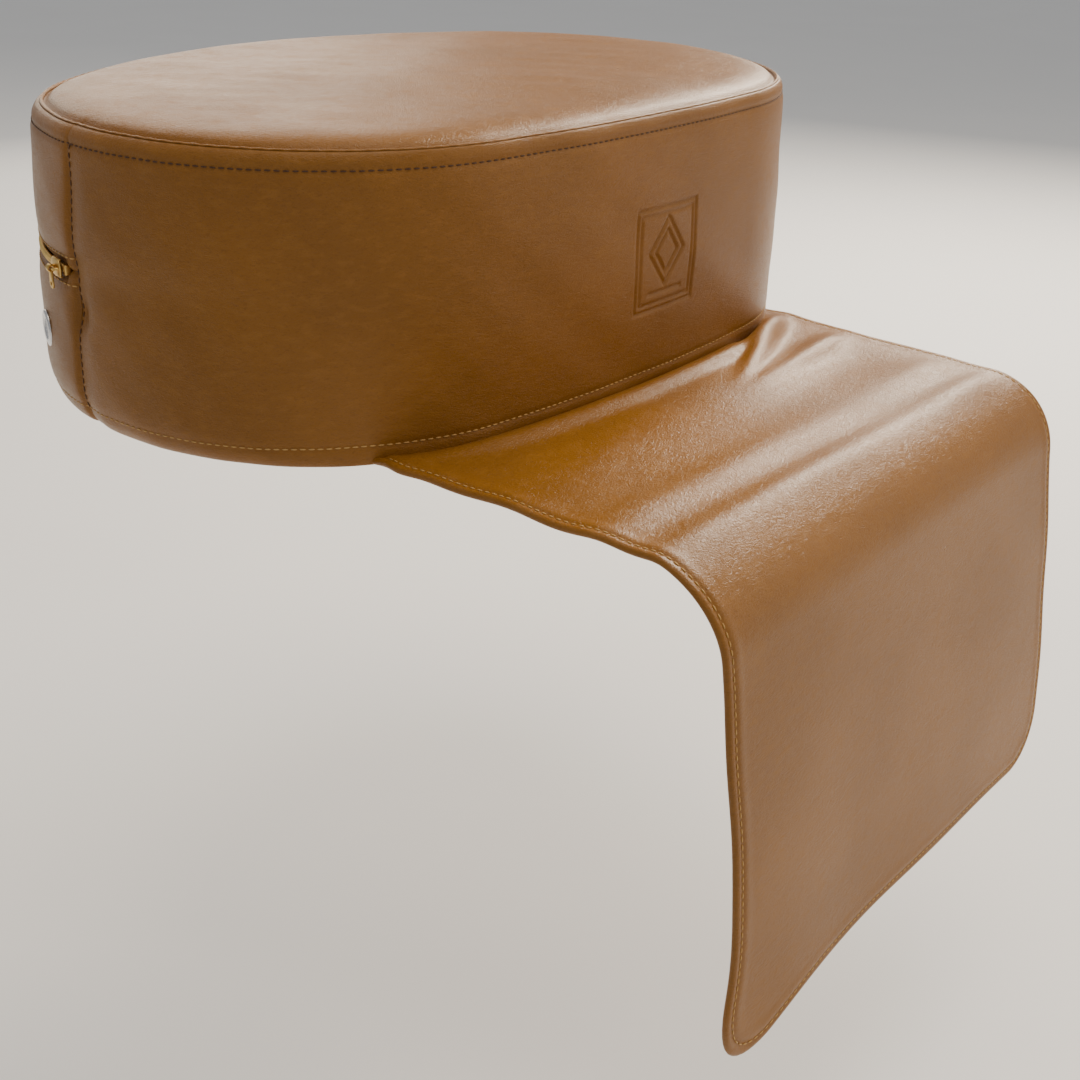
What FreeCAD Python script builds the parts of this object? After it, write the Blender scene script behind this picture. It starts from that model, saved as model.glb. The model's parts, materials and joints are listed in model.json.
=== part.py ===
"""Booster cushion for a styling chair, with a leatherette flap that covers the seat's front.

Millimetres, +Z up, +X to the cushion's right, the flap towards -Y. The origin is the middle
of the cushion's underside, which rests on a chair's seat at z = 0.
"""
import FreeCAD, Part
import math
import os

import Sketcher

V = FreeCAD.Vector
doc = FreeCAD.newDocument("BoosterCushion")

# ---------------------------------------------------------------- driving dimensions
DIMENSIONS = {
    # plan of the cushion: six tangent arcs
    "front_radius": 1000.0,    # gentle bow of the front
    "side_radius": 140.0,      # front corners
    "side_offset": 89.0,       # from the middle to the front corners' centres
    "corner_radius": 158.0,    # back corners
    "corner_offset": 71.0,     # from the middle to the back corners' centres
    "back_radius": 283.6,
    "centre_setback": 18.0,    # how far in front of the origin the widest line lies
    # heights of the cushion
    "seam_height": 143.0,      # top seam
    "crown_rise": 7.0,         # the top panel's middle above its seam
    "crown_run": 62.0,         # how far in from the seam the crown becomes flat
    "foam_height": 136.0,
    "base_thickness": 1.6,
    "cover_thickness": 1.4,
    "seam_line": 2.0,          # y of the upright seams between front and rear band
    # zip in the rear band, round the left back corner
    "zip_height": 76.0,
    "zip_start": 10.5,         # degrees round the back corner, from its widest point
    "zip_sweep": 52.5,
    "chain_gap": 1.6,          # between the two rows of teeth, for the slider's web
    "chain_width": 1.7,
    "chain_depth": 3.2,
    "tape_width": 12.0,
    "tape_thickness": 0.7,
    "slot_width": 9.8,
    "slot_margin": 1.5,        # degrees of slot and tape past each end of the chain
    "zip_room_margin": 2.5,    # degrees of hollow in the foam past each end of the chain
    "zip_room_depth": 8.0,
    "zip_room_clearance": 4.0,
    "stop_sweep": 1.1,
    "slider_angle": 12.8,      # where the slider stands when the zip is closed
    "slider_sweep": 4.3,
    "slider_width": 9.0,
    "plate_thickness": 1.2,
    "slider_clearance": 0.3,
    "web_thickness": 1.0,
    "bridge_reach": 2.3,       # from the slider's face to the bridge's bar
    "bridge_radius": 0.8,
    "bridge_length": 7.0,
    "tab_length": 12.0,
    "tab_width": 4.4,
    "tab_thickness": 1.2,
    "tab_eye_radius": 2.0,
    "tab_root_drop": 1.6,      # the tongue begins this far below the bar
    "tab_hole_radius": 1.1,
    "tab_hole_rise": 3.2,      # the hole above the tongue's end
    "eye_clearance": 0.3,
    # air vent below the zip
    "vent_angle": 22.0,
    "vent_height": 39.0,
    "vent_radius": 9.0,
    "vent_bore_radius": 5.0,
    "vent_wall": 0.5,
    "vent_lip": 0.8,
    "vent_depth": 4.0,
    "vent_clearance": 0.3,
    "vent_room_clearance": 1.0,
    "vent_room_depth": 8.0,
    "washer_margin": 0.5,
    "screen_thickness": 0.5,
    "screen_depth": 2.0,
    "tool_length": 20.0,       # long enough to cut right through a part
    "overlap": 0.1,            # how far fused parts run into each other
    # flap: three layers sewn together along a turned hem
    "flap_gap": 0.5,           # from the cushion's foot to the flap
    "flap_lift": 0.3,          # under the flap
    "lining_thickness": 0.9,
    "interlining_thickness": 1.6,
    "skin_thickness": 1.2,
    "flap_root_width": 337.0,
    "flap_root_start": 126.0,  # distances towards -Y
    "flap_fold_start": 172.0,
    "roll_start": 289.0,
    "flap_width": 322.0,
    "roll_inner_radius": 38.0,
    "roll_turn": 82.7,
    "apron_length": 191.5,
    "apron_foot_width": 314.0,
    "apron_corner_radius": 45.0,
    # sewing thread
    "thread_size": 0.5,
    "hem_margin": 4.5,
    "top_stitch_drop": 7.5,
    "foot_stitch_rise": 5.5,
    "side_stitch_margin": 2.5,
    "side_stitch_low_gap": 2.0,    # between the foot's stitches and the upright row
    "side_stitch_high_gap": 1.0,   # between the upright row and the top's stitches
}

sheet = doc.addObject("Spreadsheet::Sheet", "Dimensions")
for row, (alias, value) in enumerate(DIMENSIONS.items(), start=1):
    sheet.set("A%d" % row, alias)
    sheet.set("B%d" % row, str(value))
    sheet.setAlias("B%d" % row, alias)
doc.recompute()


def dim(alias):
    """A driving dimension as a plain number."""
    return float(getattr(sheet, alias))


def cell(expression):
    """Write [alias] in an expression as the sheet's cell of that name."""
    return expression.replace("[", "Dimensions.").replace("]", "")


def bind(thing, prop, expression):
    thing.setExpression(prop, cell(expression))


PIECES = []


def piece(thing, label):
    """Name a finished sub-part: its label is its file's name."""
    thing.Label = label
    PIECES.append(thing)
    return thing


# ---------------------------------------------------------------- sketches of the plan
def outline_arcs(inset):
    """The plan's six arcs, anticlockwise from the front: centre, radius, start and end angle."""
    setback = -dim("centre_setback")
    side = V(dim("side_offset"), setback, 0)
    corner = V(dim("corner_offset"), setback, 0)
    front_y = setback + math.sqrt((dim("front_radius") - dim("side_radius")) ** 2 - side.x ** 2)
    back_y = setback - math.sqrt((dim("back_radius") - dim("corner_radius")) ** 2 - corner.x ** 2)
    front_turn = math.atan2(setback - front_y, side.x)
    back_turn = math.atan2(setback - back_y, corner.x)
    half = [
        (side, dim("side_radius"), front_turn, 0.0),
        (corner, dim("corner_radius"), 0.0, back_turn),
    ]
    mirrored = [(V(-c.x, c.y, 0), r, math.pi - b, math.pi - a) for c, r, a, b in reversed(half)]
    arcs = [(V(0, front_y, 0), dim("front_radius"), -math.pi - front_turn, front_turn)]
    arcs += half
    arcs += [(V(0, back_y, 0), dim("back_radius"), back_turn, math.pi - back_turn)]
    arcs += mirrored
    return [(c, r - inset, a, b) for c, r, a, b in arcs]


def draw_outline(sketch, inset_expression, inset):
    """Add the plan, drawn in by an inset, as arcs whose sizes follow the sheet."""
    first = sketch.GeometryCount
    for centre, radius, start, end in outline_arcs(inset):
        circle = Part.Circle(centre, V(0, 0, 1), radius)
        sketch.addGeometry(Part.ArcOfCircle(circle, start, end), False)
    front, side, corner, back, corner_left, side_left = range(first, first + 6)
    ring = [front, side, corner, back, corner_left, side_left]
    for here, after in zip(ring, ring[1:] + ring[:1]):
        sketch.addConstraint(Sketcher.Constraint("Tangent", here, 2, after, 1))

    def size(kind, refs, value, expression):
        index = sketch.addConstraint(Sketcher.Constraint(kind, *refs, value))
        bind(sketch, "Constraints[%d]" % index, expression)

    radii = {front: "front_radius", side: "side_radius", side_left: "side_radius",
             corner: "corner_radius", corner_left: "corner_radius", back: "back_radius"}
    for arc, alias in radii.items():
        size("Radius", (arc,), dim(alias) - inset, "[%s] - (%s)" % (alias, inset_expression))
    for arc in (side, side_left, corner, corner_left):
        size("DistanceY", (arc, 3, -1, 1), dim("centre_setback"), "[centre_setback]")
    size("DistanceX", (-1, 1, side, 3), dim("side_offset"), "[side_offset]")
    size("DistanceX", (side_left, 3, -1, 1), dim("side_offset"), "[side_offset]")


def new_body(name):
    return doc.addObject("PartDesign::Body", name)


def plane(body, role="XY_Plane"):
    return next(f for f in body.Origin.OriginFeatures if f.Role == role)


def new_sketch(body, name, height="0"):
    """A sketch that lies level in its body, at a height that follows the sheet."""
    sketch = body.newObject("Sketcher::SketchObject", name)
    sketch.AttachmentSupport = [(plane(body), "")]
    sketch.MapMode = "FlatFace"
    bind(sketch, "AttachmentOffset.Base.z", height)
    return sketch


def add_pad(body, sketch, name, length):
    pad = body.newObject("PartDesign::Pad", name)
    pad.Profile = sketch
    bind(pad, "Length", length)
    return pad


def evaluate(expression):
    """The value of an expression on the sheet's cells."""
    return float(sheet.evalExpression(expression.replace("[", "").replace("]", "")))


def plate(name, inset, low, thickness):
    """A level slab whose outline is the plan, drawn in by an inset."""
    body = new_body(name)
    sketch = new_sketch(body, name + "_plan", low)
    draw_outline(sketch, inset, evaluate(inset))
    add_pad(body, sketch, name + "_pad", thickness)
    return body


def ring(name, outer, inner, low, height):
    """An upright wall between two insets of the plan."""
    body = new_body(name)
    sketch = new_sketch(body, name + "_plan", low)
    draw_outline(sketch, outer, evaluate(outer))
    draw_outline(sketch, inner, evaluate(inner))
    add_pad(body, sketch, name + "_pad", height)
    return body


def cut_half(body, name, keep_front):
    """Cut the wall away behind the upright seams, or in front of them."""
    sketch = new_sketch(body, name + "_half")
    seam = dim("seam_line")
    reach = 2 * dim("side_offset") + 2 * dim("side_radius")
    low, high = (seam, reach) if keep_front else (-reach, seam)
    corners = [V(-reach, low, 0), V(reach, low, 0), V(reach, high, 0), V(-reach, high, 0)]
    for a, b in zip(corners, corners[1:] + corners[:1]):
        sketch.addGeometry(Part.LineSegment(a, b), False)
    for i in range(4):
        sketch.addConstraint(Sketcher.Constraint("Coincident", i, 2, (i + 1) % 4, 1))
    edge = 0 if keep_front else 2
    index = sketch.addConstraint(Sketcher.Constraint("DistanceY", -1, 1, edge, 1, seam))
    bind(sketch, "Constraints[%d]" % index, "[seam_line]")
    before = body.Shape.Volume
    pocket = body.newObject("PartDesign::Pocket", name + "_pocket")
    pocket.Profile = sketch
    pocket.Type = "ThroughAll"
    pocket.Midplane = True
    doc.recompute()
    assert body.Shape.Volume < before, name
    return pocket


# ---------------------------------------------------------------- pieces round an axis
def sector(name, inner, outer, low, height, start, sweep):
    """A curved strip about the left back corner's upright axis, going clockwise from -X."""
    parts = []
    for suffix, radius, extra in (("outer", outer, "0"), ("inner", inner, "[overlap]")):
        cylinder = doc.addObject("Part::Cylinder", name + "_" + suffix)
        bind(cylinder, "Radius", radius)
        bind(cylinder, "Height", "%s + 2 * %s" % (height, extra))
        bind(cylinder, "Placement.Base.x", "-[corner_offset]")
        bind(cylinder, "Placement.Base.y", "-[centre_setback]")
        bind(cylinder, "Placement.Base.z", "%s - %s" % (low, extra))
        cylinder.Placement.Rotation = FreeCAD.Rotation(V(0, 0, 1), 0)
        parts.append(cylinder)
    bind(parts[0], "Angle", sweep)
    bind(parts[0], "Placement.Rotation.Angle", "180 - (%s) - (%s)" % (start, sweep))
    result = doc.addObject("Part::Cut", name)
    result.Base, result.Tool = parts
    return result


def joined(kind, name, base, *others):
    """A boolean of finished shapes."""
    result = doc.addObject("Part::" + kind, name)
    if kind == "MultiFuse":
        result.Shapes = [base, *others]
    else:
        result.Base, result.Tool = base, others[0]
    return result


def corner_point(angle, radius, height):
    """A point on the left back corner, at an angle in degrees from its widest point."""
    turn = math.radians(angle)
    x = -dim("corner_offset") - radius * math.cos(turn)
    return V(x, -dim("centre_setback") + radius * math.sin(turn), height)


def corner_rotation(angle):
    """Local z points outwards from the left back corner, local x along its wall."""
    turn = math.radians(angle)
    outward = V(-math.cos(turn), math.sin(turn), 0)
    along = V(math.sin(turn), math.cos(turn), 0)
    return FreeCAD.Rotation(along, outward.cross(along), outward, "ZXY")


def radial_cylinder(name, radius, depth, angle, reach, height):
    """A round peg along the corner's outward normal, its inner end at the given reach."""
    cylinder = doc.addObject("Part::Cylinder", name)
    bind(cylinder, "Radius", radius)
    bind(cylinder, "Height", depth)
    cylinder.Placement = FreeCAD.Placement(
        corner_point(dim(angle), evaluate(reach), dim(height)), corner_rotation(dim(angle)))
    return cylinder


# ---------------------------------------------------------------- the cushion
def lofted_cap(name, low_inset, low, top_inset, top):
    """A low mound: the plan at one height, drawn in to a smaller one higher up."""
    body = new_body(name)
    foot = new_sketch(body, name + "_foot", low)
    draw_outline(foot, low_inset, evaluate(low_inset))
    head = new_sketch(body, name + "_head", top)
    draw_outline(head, top_inset, evaluate(top_inset))
    loft = body.newObject("PartDesign::AdditiveLoft", name + "_loft")
    loft.Profile = foot
    loft.Sections = [head]
    loft.Ruled = True
    return body


def make_cushion():
    piece(plate("bottom_panel", "0", "0", "[base_thickness]"), "bottom_panel")

    front = ring("front_band", "0", "[cover_thickness]", "[base_thickness]",
                 "[seam_height] - [base_thickness]")
    doc.recompute()
    cut_half(front, "front_band", keep_front=True)
    piece(front, "front_band")

    slot = sector("zip_slot", "[corner_radius] - [zip_room_depth]", "[corner_radius] + [zip_room_depth]",
                  "[zip_height] - [slot_width] / 2", "[slot_width]",
                  "[zip_start] - [slot_margin]", "[zip_sweep] + 2 * [slot_margin]")
    upper = ring("rear_upper_wall", "0", "[cover_thickness]", "[zip_height]",
                 "[seam_height] - [zip_height]")
    lower = ring("rear_lower_wall", "0", "[cover_thickness]", "[base_thickness]",
                 "[zip_height] - [base_thickness]")
    doc.recompute()
    cut_half(upper, "rear_upper_wall", keep_front=False)
    cut_half(lower, "rear_lower_wall", keep_front=False)
    piece(joined("Cut", "rear_band_upper", upper, slot), "rear_band_upper")
    vent_hole = radial_cylinder("vent_hole", "[vent_bore_radius] + [vent_wall] + [vent_clearance]",
                                "[tool_length]", "vent_angle", "[corner_radius] - [vent_room_depth]",
                                "vent_height")
    openings = joined("MultiFuse", "rear_openings", slot, vent_hole)
    piece(joined("Cut", "rear_band_lower", lower, openings), "rear_band_lower")

    foam = plate("foam_block", "[cover_thickness]", "[base_thickness]",
                 "[foam_height] - [base_thickness]")
    zip_room = sector("zip_room", "[corner_radius] - [zip_room_depth]", "[corner_radius] + [zip_room_depth]",
                      "[zip_height] - [tape_width] - [zip_room_clearance]",
                      "2 * ([tape_width] + [zip_room_clearance])",
                      "[zip_start] - [zip_room_margin]", "[zip_sweep] + 2 * [zip_room_margin]")
    vent_room = radial_cylinder("vent_room", "[vent_radius] + [vent_room_clearance]", "[tool_length]",
                                "vent_angle", "[corner_radius] - [vent_room_depth]", "vent_height")
    rooms = joined("MultiFuse", "foam_rooms", zip_room, vent_room)
    piece(joined("Cut", "foam_core", foam, rooms), "foam_core")

    mound = lofted_cap("wadding_mound", "[cover_thickness]", "[seam_height]",
                       "[crown_run]", "[seam_height] + [crown_rise] - [cover_thickness]")
    pad = plate("wadding_pad", "[cover_thickness]", "[foam_height]", "[seam_height] - [foam_height]")
    wadding = joined("MultiFuse", "wadding", mound, pad)
    piece(wadding, "wadding")
    skin = lofted_cap("top_mound", "0", "[seam_height]",
                      "[crown_run]", "[seam_height] + [crown_rise]")
    piece(joined("Cut", "top_panel", skin, mound), "top_panel")


# ---------------------------------------------------------------- zip, slider and pull tab
def make_zip():
    tape_high = "[corner_radius] - [cover_thickness]"
    tape_low = tape_high + " - [tape_thickness]"
    chain_low = tape_low
    chain_high = chain_low + " + [chain_depth]"
    above = "[zip_height] + [chain_gap] / 2"
    below = "[zip_height] - [chain_gap] / 2 - [chain_width]"
    piece(sector("zip_teeth_upper", chain_low, chain_high, above, "[chain_width]",
                 "[zip_start]", "[zip_sweep]"), "zip_teeth_upper")
    piece(sector("zip_teeth_lower", chain_low, chain_high, below, "[chain_width]",
                 "[zip_start]", "[zip_sweep]"), "zip_teeth_lower")
    piece(sector("zip_tape_upper", tape_low, tape_high, above + " + [chain_width]", "[tape_width]",
                 "[zip_start] - [slot_margin]", "[zip_sweep] + 2 * [slot_margin]"), "zip_tape_upper")
    piece(sector("zip_tape_lower", tape_low, tape_high, below + " - [tape_width]", "[tape_width]",
                 "[zip_start] - [slot_margin]", "[zip_sweep] + 2 * [slot_margin]"), "zip_tape_lower")
    stop_height = "[chain_gap] + 2 * [chain_width]"
    piece(sector("zip_top_stop", chain_low, chain_high, below, stop_height,
                 "[zip_start] - [stop_sweep]", "[stop_sweep]"), "zip_top_stop")
    piece(sector("zip_bottom_stop", chain_low, chain_high, below, stop_height,
                 "[zip_start] + [zip_sweep]", "[stop_sweep]"), "zip_bottom_stop")

    face = chain_high + " + [slider_clearance]"
    start = "[slider_angle] - [slider_sweep] / 2"
    slider_low = "[zip_height] - [slider_width] / 2"
    outer = sector("slider_face", face, face + " + [plate_thickness]", slider_low,
                   "[slider_width]", start, "[slider_sweep]")
    back = chain_low + " - [slider_clearance]"
    inner = sector("slider_back", back + " - [plate_thickness]", back, slider_low,
                   "[slider_width]", start, "[slider_sweep]")
    web = sector("slider_web", back + " - [overlap]", face + " + [overlap]",
                 "[zip_height] - [web_thickness] / 2", "[web_thickness]",
                 "[slider_angle] - [slider_sweep] / 4", "[slider_sweep] / 2")
    piece(joined("MultiFuse", "zip_slider", outer, inner, web), "zip_slider")

    # the bridge: a bar along the chain on two posts, which the tab's eye hangs from
    face_reach = evaluate(face + " + [plate_thickness]")
    bar_reach = face_reach + dim("bridge_reach")
    angle = dim("slider_angle")
    turned = corner_rotation(angle)
    height = dim("zip_height")
    length = dim("bridge_length")
    radius = dim("bridge_radius")
    along = turned.multVec(V(1, 0, 0))
    middle = corner_point(angle, bar_reach, height)
    bar = doc.addObject("Part::Cylinder", "bridge_bar")
    bind(bar, "Radius", "[bridge_radius]")
    bind(bar, "Height", "[bridge_length]")
    bar.Placement = FreeCAD.Placement(middle - along * (length / 2), FreeCAD.Rotation(V(0, 0, 1), along))
    posts = []
    for name, shift in (("bridge_post_front", -length / 2), ("bridge_post_back", length / 2 - 2 * radius)):
        post = doc.addObject("Part::Box", name)
        bind(post, "Length", "2 * [bridge_radius]")
        bind(post, "Width", "2 * [bridge_radius]")
        bind(post, "Height", "[bridge_reach] + [overlap]")
        corner = middle + along * shift - turned.multVec(V(0, radius, dim("bridge_reach") + dim("overlap")))
        post.Placement = FreeCAD.Placement(corner, turned)
        posts.append(post)
    bridge = joined("MultiFuse", "bridge_raw", bar, *posts)
    piece(joined("Cut", "slider_bridge", bridge, outer), "slider_bridge")

    # the tab: a curled eye round the bar, and a flat tongue that hangs from it
    eye_length = length - 4 * radius - 2 * dim("eye_clearance")
    eye = doc.addObject("Part::Cylinder", "tab_eye")
    bind(eye, "Radius", "[tab_eye_radius]")
    bind(eye, "Height", "[bridge_length] - 4 * [bridge_radius] - 2 * [eye_clearance]")
    eye.Placement = FreeCAD.Placement(middle - along * (eye_length / 2), FreeCAD.Rotation(V(0, 0, 1), along))
    tongue = doc.addObject("Part::Box", "tab_tongue")
    bind(tongue, "Length", "[tab_width]")
    bind(tongue, "Width", "[tab_length] - [tab_eye_radius]")
    bind(tongue, "Height", "[tab_thickness]")
    corner = middle - turned.multVec(V(dim("tab_width") / 2, 0, dim("tab_thickness") / 2))
    corner.z = height - dim("tab_root_drop")
    tongue.Placement = FreeCAD.Placement(corner, turned)
    hole = doc.addObject("Part::Cylinder", "tab_hole")
    bind(hole, "Radius", "[bridge_radius] + [eye_clearance]")
    bind(hole, "Height", "[bridge_length]")
    hole.Placement = bar.Placement
    grip = radial_cylinder("tab_grip_hole", "[tab_hole_radius]", "[tool_length]",
                           "slider_angle", "[corner_radius]", "zip_height")
    grip.Placement.Base.z = height - dim("tab_length") + dim("tab_hole_rise")
    tab = joined("MultiFuse", "tab_raw", eye, tongue)
    holes = joined("MultiFuse", "tab_holes", hole, grip)
    piece(joined("Cut", "pull_tab", tab, holes), "pull_tab")


# ---------------------------------------------------------------- air vent
def make_vent():
    lip = radial_cylinder("vent_flange", "[vent_radius]", "[vent_lip]",
                          "vent_angle", "[corner_radius]", "vent_height")
    barrel = radial_cylinder("vent_barrel", "[vent_bore_radius] + [vent_wall]", "[vent_depth]",
                             "vent_angle", "[corner_radius] - [vent_depth] + [overlap]", "vent_height")
    bore = radial_cylinder("vent_bore", "[vent_bore_radius]", "[tool_length]",
                           "vent_angle", "[corner_radius] - [vent_room_depth]", "vent_height")
    tube = joined("MultiFuse", "vent_tube", lip, barrel)
    piece(joined("Cut", "vent_eyelet", tube, bore), "vent_eyelet")

    washer_reach = "[corner_radius] - [cover_thickness] - [vent_lip] - [vent_clearance]"
    disc = radial_cylinder("vent_washer_disc", "[vent_radius] - [washer_margin]", "[vent_lip]",
                           "vent_angle", washer_reach, "vent_height")
    hole = radial_cylinder("vent_washer_hole", "[vent_bore_radius] + [vent_wall]", "[tool_length]",
                           "vent_angle", "[corner_radius] - [vent_room_depth]", "vent_height")
    piece(joined("Cut", "vent_washer", disc, hole), "vent_washer")
    piece(radial_cylinder("vent_screen", "[vent_bore_radius]", "[screen_thickness]",
                          "vent_angle", "[corner_radius] - [screen_depth]", "vent_height"), "vent_screen")


# ---------------------------------------------------------------- flap
LAYERS = (   # name, its underside above the flap's underside, its thickness
    ("lining", "0", "[lining_thickness]"),
    ("interlining", "[lining_thickness]", "[interlining_thickness]"),
    ("skin", "[lining_thickness] + [interlining_thickness]", "[skin_thickness]"),
)


def half_width(distance):
    """Half the flap's width at a distance in front of the origin, on its lying part."""
    share = (distance - dim("flap_root_start")) / (dim("roll_start") - dim("flap_root_start"))
    return (dim("flap_root_width") * (1 - share) + dim("flap_width") * share) / 2


def closed_lines(sketch, points):
    first = sketch.GeometryCount
    count = len(points)
    for a, b in zip(points, points[1:] + points[:1]):
        sketch.addGeometry(Part.LineSegment(a, b), False)
    for i in range(count):
        sketch.addConstraint(Sketcher.Constraint("Coincident", first + i, 2, first + (i + 1) % count, 1))
    return first


def tapered_panel(sketch, start, end):
    """The flap's lying part between two distances, as a symmetric trapezium fixed by the sheet."""
    near, far = dim(start), dim(end)
    wide, narrow = half_width(near), half_width(far)
    corners = [V(-wide, -near, 0), V(-narrow, -far, 0), V(narrow, -far, 0), V(wide, -near, 0)]
    first = closed_lines(sketch, corners)
    for edge, distance, alias in ((first, near, start), (first + 1, far, end)):
        index = sketch.addConstraint(Sketcher.Constraint("DistanceY", edge, 1, -1, 1, distance))
        bind(sketch, "Constraints[%d]" % index, "[%s]" % alias)
    for line in (first + 1, first + 3):
        sketch.addConstraint(Sketcher.Constraint("Horizontal", line))
    share = "(([%s] - [flap_root_start]) / ([roll_start] - [flap_root_start]))"
    width = "([flap_root_width] * (1 - {0}) + [flap_width] * {0}) / 2"
    for refs, value, alias in (((first, 1, -1, 1), wide, start), ((-1, 1, first + 3, 1), wide, start),
                               ((first + 1, 1, -1, 1), narrow, end), ((-1, 1, first + 2, 1), narrow, end)):
        index = sketch.addConstraint(Sketcher.Constraint("DistanceX", *refs, value))
        bind(sketch, "Constraints[%d]" % index, width.format(share % alias))


def apron_lines(sketch, inset):
    """The hanging part: local x across, local y down from the end of the roll."""
    wide = dim("flap_width") / 2 - inset
    narrow = dim("apron_foot_width") / 2 - inset
    length = dim("apron_length") - inset
    closed_lines(sketch, [V(-wide, 0, 0), V(wide, 0, 0), V(narrow, length, 0), V(-narrow, length, 0)])
    first = sketch.GeometryCount - 4
    for refs, value, expression in (
            (("DistanceX", first, 1, -1, 1), wide, "[flap_width] / 2 - %g" % inset),
            (("DistanceX", -1, 1, first, 2), wide, "[flap_width] / 2 - %g" % inset),
            (("DistanceX", -1, 1, first + 1, 2), narrow, "[apron_foot_width] / 2 - %g" % inset),
            (("DistanceX", first + 2, 2, -1, 1), narrow, "[apron_foot_width] / 2 - %g" % inset),
            (("DistanceY", -1, 1, first + 1, 2), length, "[apron_length] - %g" % inset)):
        index = sketch.addConstraint(Sketcher.Constraint(*refs, value))
        bind(sketch, "Constraints[%d]" % index, expression)
    sketch.addConstraint(Sketcher.Constraint("PointOnObject", first, 1, -1))
    sketch.addConstraint(Sketcher.Constraint("Horizontal", first))
    sketch.addConstraint(Sketcher.Constraint("Horizontal", first + 2))


def round_foot(body, pad, name, radius_expression):
    """Round the apron's two lower corners."""
    doc.recompute()
    foot = max(v.Point.y for v in pad.Shape.Vertexes)
    edges = []
    for number, edge in enumerate(pad.Shape.Edges, start=1):
        ends = [v.Point for v in edge.Vertexes]
        upright = abs(ends[0].x - ends[1].x) + abs(ends[0].y - ends[1].y) < 1e-6
        if upright and abs(ends[0].y - foot) < 1e-6:
            edges.append("Edge%d" % number)
    fillet = body.newObject("PartDesign::Fillet", name + "_corners")
    fillet.Base = (pad, edges)
    bind(fillet, "Radius", radius_expression)
    return fillet


def roll_frame():
    """The apron's place: local y down along it, local z into its thickness, from the outer face."""
    turn = math.radians(dim("roll_turn"))
    outer = dim("roll_inner_radius") + flap_thickness()
    centre = V(0, -dim("roll_start"), dim("flap_lift") - dim("roll_inner_radius"))
    place = centre + V(0, -math.sin(turn), math.cos(turn)) * outer
    return FreeCAD.Placement(place, FreeCAD.Rotation(V(1, 0, 0), dim("roll_turn") - 180))


def flap_thickness():
    return dim("lining_thickness") + dim("interlining_thickness") + dim("skin_thickness")


def make_flap():
    for layer, rise, thickness in LAYERS:
        low = "[flap_lift] + " + rise
        root = new_body("flap_%s_root" % layer)
        sketch = new_sketch(root, root.Name + "_plan", low)
        tapered_panel(sketch, "flap_root_start", "flap_fold_start")
        add_pad(root, sketch, root.Name + "_pad", thickness)
        doc.recompute()
        before = root.Shape.Volume
        clear = new_sketch(root, root.Name + "_foot")
        draw_outline(clear, "-[flap_gap]", -dim("flap_gap"))
        pocket = root.newObject("PartDesign::Pocket", root.Name + "_pocket")
        pocket.Profile = clear
        pocket.Type = "ThroughAll"
        pocket.Midplane = True
        doc.recompute()
        assert root.Shape.Volume < before, root.Name
        piece(root, root.Name)

        seat = new_body("flap_%s_seat" % layer)
        sketch = new_sketch(seat, seat.Name + "_plan", low)
        tapered_panel(sketch, "flap_fold_start", "roll_start")
        add_pad(seat, sketch, seat.Name + "_pad", thickness)
        piece(seat, seat.Name)

        roll_parts = []
        for suffix, radius in (("outer", "[roll_inner_radius] + %s + %s" % (rise, thickness)),
                               ("inner", "[roll_inner_radius] + " + rise)):
            cylinder = doc.addObject("Part::Cylinder", "flap_%s_roll_%s" % (layer, suffix))
            bind(cylinder, "Radius", radius)
            bind(cylinder, "Height", "[flap_width]")
            bind(cylinder, "Placement.Base.x", "-[flap_width] / 2")
            bind(cylinder, "Placement.Base.y", "-[roll_start]")
            bind(cylinder, "Placement.Base.z", "[flap_lift] - [roll_inner_radius]")
            cylinder.Placement.Rotation = FreeCAD.Rotation(V(0, 0, 1), V(0, -1, 0), V(1, 0, 0), "ZXY")
            if suffix == "outer":
                bind(cylinder, "Angle", "[roll_turn]")
            roll_parts.append(cylinder)
        roll = joined("Cut", "flap_%s_roll" % layer, *roll_parts)
        piece(roll, roll.Name)

        apron = new_body("flap_%s_apron" % layer)
        depth = "[lining_thickness] + [interlining_thickness] + [skin_thickness] - (%s) - (%s)"
        sketch = new_sketch(apron, apron.Name + "_plan", depth % (rise, thickness))
        apron_lines(sketch, 0.0)
        pad = add_pad(apron, sketch, apron.Name + "_pad", thickness)
        round_foot(apron, pad, apron.Name, "[apron_corner_radius]")
        apron.Placement = roll_frame()
        piece(apron, apron.Name)


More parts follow.
